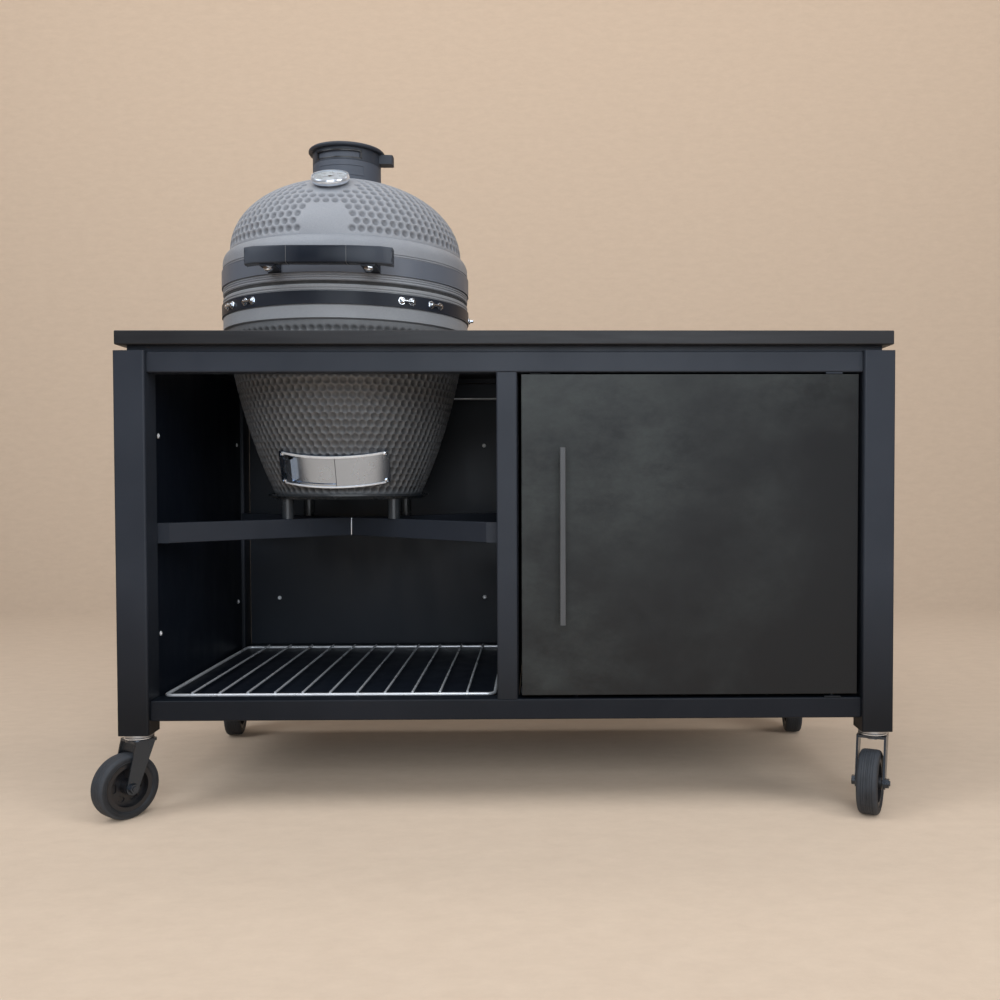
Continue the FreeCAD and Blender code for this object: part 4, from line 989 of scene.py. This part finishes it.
def hexagon_nut(radius, tall):
    """A six-sided nut that stands on the origin."""
    nut = begin(bpy.ops.mesh.primitive_cylinder_add, vertices=6, radius=radius, depth=tall,
                location=(0, 0, tall / 2))
    choose(nut, "edges", lambda edge: all(vert.co.z > tall - 0.00001 for vert in edge.verts))
    bpy.ops.mesh.bevel(offset=0.12 * radius, segments=2, affect="EDGES")
    alone(nut)
    return nut


def band_bolt(stud):
    """Washer, nut and bolt end. stud is the bolt end's height over the band."""
    washer = turned([(0, 0), (0.0080, 0), (0.0080, 0.0008), (0.0074, 0.0012), (0, 0.0012)], 24)
    nut = hexagon_nut(0.0066, 0.0044)
    end = turned([(0, 0), (0.0034, 0), (0.0034, stud - 0.0010), (0.0026, stud - 0.0002), (0, stud)], 18)
    return joined([washer, nut, end])


band_low, band_high = corners("bowl_band")
band_radius = round((band_high.x - band_low.x) / 2, 4)
band_middle = (band_low.z + band_high.z) / 2
outward_tip = rotation(90, "X")
bolt_angles, side_angle = (34.0, 39.0, 49.5, 55.0), 98.0
short_stud, long_stud = 0.0072, 0.0120
shank_radius, shank_out = 0.0030, 0.0040
shank_long = 2 * band_radius * math.sin(math.radians(bolt_angles[1] - bolt_angles[0]) / 2)
shank = turned([(0, 0), (shank_radius, 0), (shank_radius, shank_long), (0, shank_long)], 16)
set_down(shank, Matrix.Translation((0, 0, -shank_long / 2)))
set_down(shank, rotation(90, "Y"))
pair_middles = [(start + end) / 2 for start, end in (bolt_angles[:2], bolt_angles[2:])]
fasteners = copies_at(shank, [on_ring(kettle_axis, sign * middle, band_radius + shank_out, band_middle)
                              for middle in pair_middles for sign in (-1, 1)])
for stud, angles in ((short_stud, bolt_angles), (long_stud, (side_angle,))):
    fasteners += copies_at(band_bolt(stud), [
        on_ring(kettle_axis, sign * angle, band_radius, band_middle) @ outward_tip
        for angle in angles for sign in (-1, 1)])

draft_outer, draft_corner, draft_screw_turn = 0.2061, 0.030, 31.5
screw_head = turned([(0, 0), (0.0052, 0), (0.0050, 0.0014), (0.0036, 0.0026), (0.0018, 0.0030),
                     (0.0016, 0.0016), (0, 0.0016)], 20)
fasteners += copies_at(screw_head, [
    on_ring(draft_place, angle, draft_outer, height) @ outward_tip
    for angle in (-draft_screw_turn, draft_screw_turn) for height in (-draft_corner, draft_corner)])
kettle_fasteners = joined(fasteners)
hand_over(kettle_fasteners, "kettle_fasteners", chrome, "table")
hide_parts("kettle_screws")

nut_reach, nut_y, nut_z = 0.098, handle_middle + 0.0105, handle_low.z - 0.004
crown_radius, crown_low, crown_foot, crown_tall = 0.0072, 0.004, 0.0050, 0.0048
crown = [(0, crown_low), (crown_radius, crown_low)]
crown += [(crown_radius * math.cos(a), crown_foot + crown_tall * math.sin(a))
          for a in np.linspace(0, math.pi / 2, 7)]
upside_down = rotation(180, "X")
for side, name in ((-1, "left"), (1, "right")):
    cap_nut = joined([hexagon_nut(0.0092, 0.0052), turned(crown, 24)])
    set_down(cap_nut, kettle_axis @ Matrix.Translation((side * nut_reach, nut_y, nut_z)) @ upside_down)
    hand_over(cap_nut, "handle_nut_" + name, chrome, "lid")

# %% [markdown]
# ### Pop rivets
# The sheets are held by pop rivets. Such a head is a low ring: the pin that pulled it tight broke off inside
# and left a dark hole in the middle. The head is turned once, and copies are set on the sheets, two rows
# high, on both side walls and on the back of both bays.

# %% Rivets


def aimed(way):
    """The turn that points Z in a direction."""
    return Vector(way).to_track_quat("Z", "Y").to_matrix().to_4x4()


rivet_low, rivet_high = corners("panel_rivets")
head_tall, head_radius = 0.0020, 0.0050
rivet_head = turned([(0, 0), (head_radius, 0), (head_radius, 0.0005), (0.0042, 0.0014), (0.0030, head_tall),
                     (0.0022, 0.0018), (0.0016, 0.0006), (0, 0.0005)], 18)
side_x, side_y, back_y = rivet_high.x, -rivet_low.y - head_radius, rivet_high.y
back_x = (0.615, 0.080)
spots = []
for z in (rivet_low.z + head_radius, rivet_high.z - head_radius):
    spots += [((sx * side_x, sy * side_y, z), (-sx, 0, 0)) for sx in (-1, 1) for sy in (-1, 1)]
    spots += [((sx * x, back_y, z), (0, -1, 0)) for sx in (-1, 1) for x in back_x]
print(len(spots), "rivets on x", round(side_x, 4), "y", round(back_y, 4))
rivet_heads = joined(copies_at(rivet_head, [Matrix.Translation(spot) @ aimed(way) for spot, way in spots]))
hand_over(rivet_heads, "rivet_heads", bare_rivet, "table")
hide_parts("panel_rivets")

# %% [markdown]
# ### The thermometer's dial
# Behind the glass lies a pale enamelled dial with a ring of ticks, plain numbers and a needle. The dial is a
# filled circle with a raised edge. A tick is a thin bar that is set round three quarters of a circle, and
# every fourth one is longer and has a number. The numbers are text turned to mesh, because the place of a
# text object can't be put into its letters. The needle is a bar that is drawn in at one end.

# %% Dial
gauge_place = kettle_axis @ Matrix.Translation((0, -gauge_reach, gauge_height)) @ Matrix.Rotation(
    gauge_lean, 4, "X")
dial_level, dial_radius, dial_thick = 0.0121, 0.0354, 0.0006
dial = begin(bpy.ops.mesh.primitive_circle_add, vertices=72, radius=dial_radius, fill_type="NGON",
             location=(0, 0, dial_level))
bpy.ops.mesh.inset(thickness=0.0012, depth=0.0)
bpy.ops.mesh.inset(thickness=0.0004, depth=-0.0004)
bpy.ops.mesh.select_all(action="SELECT")
bpy.ops.mesh.extrude_region_move(TRANSFORM_OT_translate={"value": (0, 0, dial_thick)})
bpy.ops.mesh.select_all(action="SELECT")
bpy.ops.mesh.normals_make_consistent(inside=False)
set_down(dial, gauge_place)
hand_over(dial, "dial_face", dial_enamel, "lid")

# %% Ticks and numbers
tick_count, tick_sweep, long_every = 25, 270.0, 4
mark_level, mark_thick = dial_level + 0.0003, 0.0003
long_tick, short_tick = (0.0009, 0.0050, 0.0300), (0.0005, 0.0030, 0.0310)
number_reach, number_size, first_number, number_step = 0.0225, 0.0062, 50, 50


def dial_turn(i):
    """How far a tick is turned to the left of the top, in radians."""
    return math.radians(tick_sweep / 2 - tick_sweep * i / (tick_count - 1))


ticks = []
for i in range(tick_count):
    wide, tall, tick_reach = short_tick if i % long_every else long_tick
    tick = block((0, tick_reach, mark_level), (wide, tall, mark_thick))
    choose(tick, "edges", lambda edge: all(vert.co.z > mark_level for vert in edge.verts))
    bpy.ops.mesh.bevel(offset=0.0001, segments=1, affect="EDGES")
    set_down(tick, Matrix.Rotation(dial_turn(i), 4, "Z"))
    ticks.append(tick)
dial_ticks = joined(ticks)
set_down(dial_ticks, gauge_place)
hand_over(dial_ticks, "dial_ticks", dial_ink, "lid")

numbers = []
for i in range(0, tick_count, long_every):
    bpy.ops.object.select_all(action="DESELECT")
    bpy.ops.object.text_add(location=(0, 0, 0))
    word = bpy.context.object
    word.data.body = str(first_number + number_step * (i // long_every))
    word.data.size = number_size
    word.data.align_x = "CENTER"
    word.data.align_y = "CENTER"
    word.data.extrude = 0.0001
    bpy.ops.object.convert(target="MESH")
    across, upwards = -number_reach * math.sin(dial_turn(i)), number_reach * math.cos(dial_turn(i))
    set_down(word, Matrix.Translation((across, upwards, mark_level)))
    numbers.append(word)
dial_numbers = joined(numbers)
set_down(dial_numbers, gauge_place)
hand_over(dial_numbers, "dial_numbers", dial_ink, "lid")

# %% Needle
needle_turn = 118.0
needle = block((0, 0.009, mark_level + 0.0006), (0.0018, 0.036, 0.0004))
choose(needle, "verts", lambda vert: vert.co.y > 0.02)
bpy.ops.transform.resize(value=(0.15, 1, 1), center_override=(0, 0, 0))
hub = turned([(0, 0), (0.0034, 0), (0.0034, 0.0010), (0.0026, 0.0014), (0, 0.0014)], 24)
set_down(hub, Matrix.Translation((0, 0, mark_level)))
dial_needle = joined([needle, hub])
set_down(dial_needle, gauge_place @ rotation(needle_turn, "Z"))
hand_over(dial_needle, "dial_needle", dial_ink, "lid")

# %% [markdown]
# ### The frames on the chimney and the draft opening's rims
# A bare raised frame is cast on the chimney's front, and a dark frame edges the window of the turning cap
# above it, a painted shade where the window's recess is shadowed. Each starts as a flat grid with enough
# faces to bend. The grid is inset, its inner faces are deleted, the frame that is left is laid round the
# chimney, and Solidify gives it its height. Laying it round is done in code, because the bend operator needs
# a window. The bright rims above and below the draft door are strips without a border, laid round its tilted
# axis in the same way.

# %% Chimney frames and draft rims


def bent_frame(place, radius, low, high, turns, thick, border=0.0, edge=0.0003):
    """A strip round an axis, between two heights and two angles. A border makes it a frame."""
    piece = begin(bpy.ops.mesh.primitive_grid_add, x_subdivisions=28, y_subdivisions=6, size=1.0,
                  location=(0, 0, 0))
    bpy.ops.transform.resize(value=(radius * math.radians(turns[1] - turns[0]), high - low, 1))
    if border:
        bpy.ops.mesh.inset(thickness=border, depth=0.0)
        bpy.ops.mesh.delete(type="FACE")
    alone(piece)
    middle = math.radians(sum(turns) / 2)
    for vert in piece.data.vertices:
        turn = middle + vert.co.x / radius
        vert.co = (radius * math.sin(turn), -radius * math.cos(turn), (low + high) / 2 + vert.co.y)
    apply_modifier(piece, "SOLIDIFY", thickness=thick, offset=0.0)
    soften(piece, edge, 40)
    set_down(piece, place)
    return piece


chimney_radius, cap_skirt = 0.0750, (0.0710, 0.0750)
plate = bent_frame(kettle_axis, chimney_radius, 1.317, 1.340, (-42.0, 40.0), 0.0016, border=0.0024)
hand_over(plate, "chimney_plate", cap_coat, "lid")
# A dark frame round the cap's window: painted shade of the recess.
window_shade_frame = bent_frame(kettle_axis, sum(cap_skirt) / 2, 1.3535, 1.3725, (-50.0, 36.0), 0.0030, border=0.0032)
hand_over(window_shade_frame, "cap_window_lining", hub_plastic, "vent_cap")

rim_proud, rim_turns, rim_thick = 0.0004, (-31.0, 31.0), 0.0024
for name, low, high in (("top", 0.0304, 0.0352), ("bottom", -0.0352, -0.0318)):
    rim = bent_frame(draft_place, draft_outer + rim_proud, low, high, rim_turns, rim_thick, edge=0.0009)
    hand_over(rim, "draft_rim_" + name, bare_rivet, "table")

# %% [markdown]
# ### Tyres and swivel rings
# The tyres are solid rubber with fine grooves round the tread and two raised lines on each side. They are
# turned from half a section that is mirrored, then set on each wheel's axle, which the frame's joints give.
# An attribute marks the tread for the finish. A thin web closes the hub's holes, and a bright bearing ring
# closes the swivel head under each leg.

# %% Tyres and swivel rings
tyre_half, tyre_radius, tread_deep = 0.020, 0.0625, 0.0050
side_radius = 0.0525
tread_radius, tread_groove = tyre_radius - 0.0003, tyre_radius - 0.0011
half_section = [(0.0460, 0.0170), (0.0475, tyre_half - 0.0012), (0.0490, tyre_half),
                (0.0500, tyre_half - 0.0006), (0.0510, tyre_half), (side_radius, tyre_half)]
half_section += [(side_radius + 0.0092 * math.sin(a), 0.0130 + 0.0070 * math.cos(a))
                 for a in np.linspace(0.15, math.pi / 2, 7)]
for groove_at in (0.0110, 0.0066, 0.0022):
    half_section += [(tread_radius, groove_at), (tread_groove, groove_at - 0.0004),
                     (tread_groove, groove_at - 0.0011), (tread_radius, groove_at - 0.0015)]
tyre_pattern = turned(half_section + [(r, -h) for r, h in reversed(half_section)], 72)
tread = tyre_pattern.data.attributes.new("tread", "FLOAT", "POINT")
for vert, mark in zip(tyre_pattern.data.vertices, tread.data):
    mark.value = float(math.hypot(vert.co.x, vert.co.y) > tyre_radius - tread_deep)
ring_bore, ring_radius, ring_tall = 0.0245, 0.0280, 0.0038
ring_pattern = turned([(ring_bore, 0.0), (0.0272, 0.0), (ring_radius, 0.0010), (ring_radius, 0.0028),
                       (0.0270, ring_tall), (ring_bore, ring_tall)], 48)
web_bore, web_radius, web_half = 0.0120, 0.0430, 0.0012
web_pattern = turned([(web_bore, -web_half), (web_radius, -web_half), (web_radius, web_half),
                      (web_bore, web_half)], 36)

ring_drop = 0.0040
for corner in table_corners:
    roll, swivel = joints["roll_" + corner], joints["swivel_" + corner]
    axle = Matrix.Translation(roll["pos_m"]) @ aimed(roll["axis"])
    fork_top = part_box("caster_fork_" + corner)[1][2]
    tyre = copy_at(tyre_pattern, axle)
    hand_over(tyre, "tyre_" + corner, tyre_rubber, "wheel_" + corner)
    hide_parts("caster_tyre_" + corner)
    web = copy_at(web_pattern, axle)
    hand_over(web, "hub_web_" + corner, hub_plastic, "wheel_" + corner)
    ring = copy_at(ring_pattern, Matrix.Translation((*swivel["pos_m"][:2], fork_top - ring_drop)))
    hand_over(ring, "swivel_ring_" + corner, chrome, "fork_" + corner)
for pattern in (tyre_pattern, ring_pattern, web_pattern):
    bpy.data.objects.remove(pattern)

# %% [markdown]
# ### Weld bead, painted rail highlight and seam
# Where the arms of the support cross meet, a ground weld shows as a light upright line. A pale strip along
# the under edge of the rear rail is a painted highlight. A dark seam parts the draft opening's fixed half
# from the sliding one. All three are slim bars whose edges are bevelled, so that they catch the light as a
# line.
# They lie a fraction of a millimetre proud of the steel.

# %% Weld bead, painted rail highlight and seam


def slim_bar(low, high, edge):
    """A bar between two corners with bevelled edges."""
    low, high = Vector(low), Vector(high)
    bar = block((low + high) / 2, high - low)
    bpy.ops.mesh.select_all(action="SELECT")
    bpy.ops.mesh.bevel(offset=edge, segments=2, affect="EDGES")
    alone(bar)
    return bar


cross_low, cross_high = corners("support_cross")
bead_x, bead_y, bead_half, bead_inset = -0.3606, -0.0136, 0.0011, 0.001
bead = slim_bar((bead_x - bead_half, bead_y - 0.0008, cross_low.z + bead_inset),
                (bead_x + bead_half, bead_y + 0.0030, cross_high.z - bead_inset), 0.0004)
hand_over(bead, "cross_weld", bright_wire, "table")
# A painted highlight along the rear rail's under edge.
rail_low = corners("rear_top_rail")[0]
edge_proud, edge_tall = 0.0006, 0.0026
rail_highlight = slim_bar((-0.300, rail_low.y - edge_proud, rail_low.z - edge_proud),
                     (-0.022, rail_low.y + edge_proud, rail_low.z + edge_tall), 0.0002)
hand_over(rail_highlight, "rear_rail_edge", bare_rivet, "table")
seam_half, seam_turn = 0.0006, 2.0
seam = slim_bar((-seam_half, -draft_outer - 0.0003, -0.0316),
                (seam_half, -draft_outer + 0.0010, 0.0302), 0.0002)
set_down(seam, draft_place @ rotation(seam_turn, "Z"))
hand_over(seam, "draft_seam", hub_plastic, "table")

# %% [markdown]
# ### The door's soft edges
# The folded edges of the door are slightly round and catch a line of light along the top. The door itself
# stays as it came from CAD, and a Bevel modifier that isn't applied softens it for the picture.

# %% Door edges
soft_edge = nodes["door_panel"].modifiers.new("soft_edge", "BEVEL")
soft_edge.width = 0.0016
soft_edge.segments = 3
soft_edge.limit_method = "ANGLE"
soft_edge.angle_limit = math.radians(40)
print("door edges softened by", round(1000 * soft_edge.width, 2), "mm")
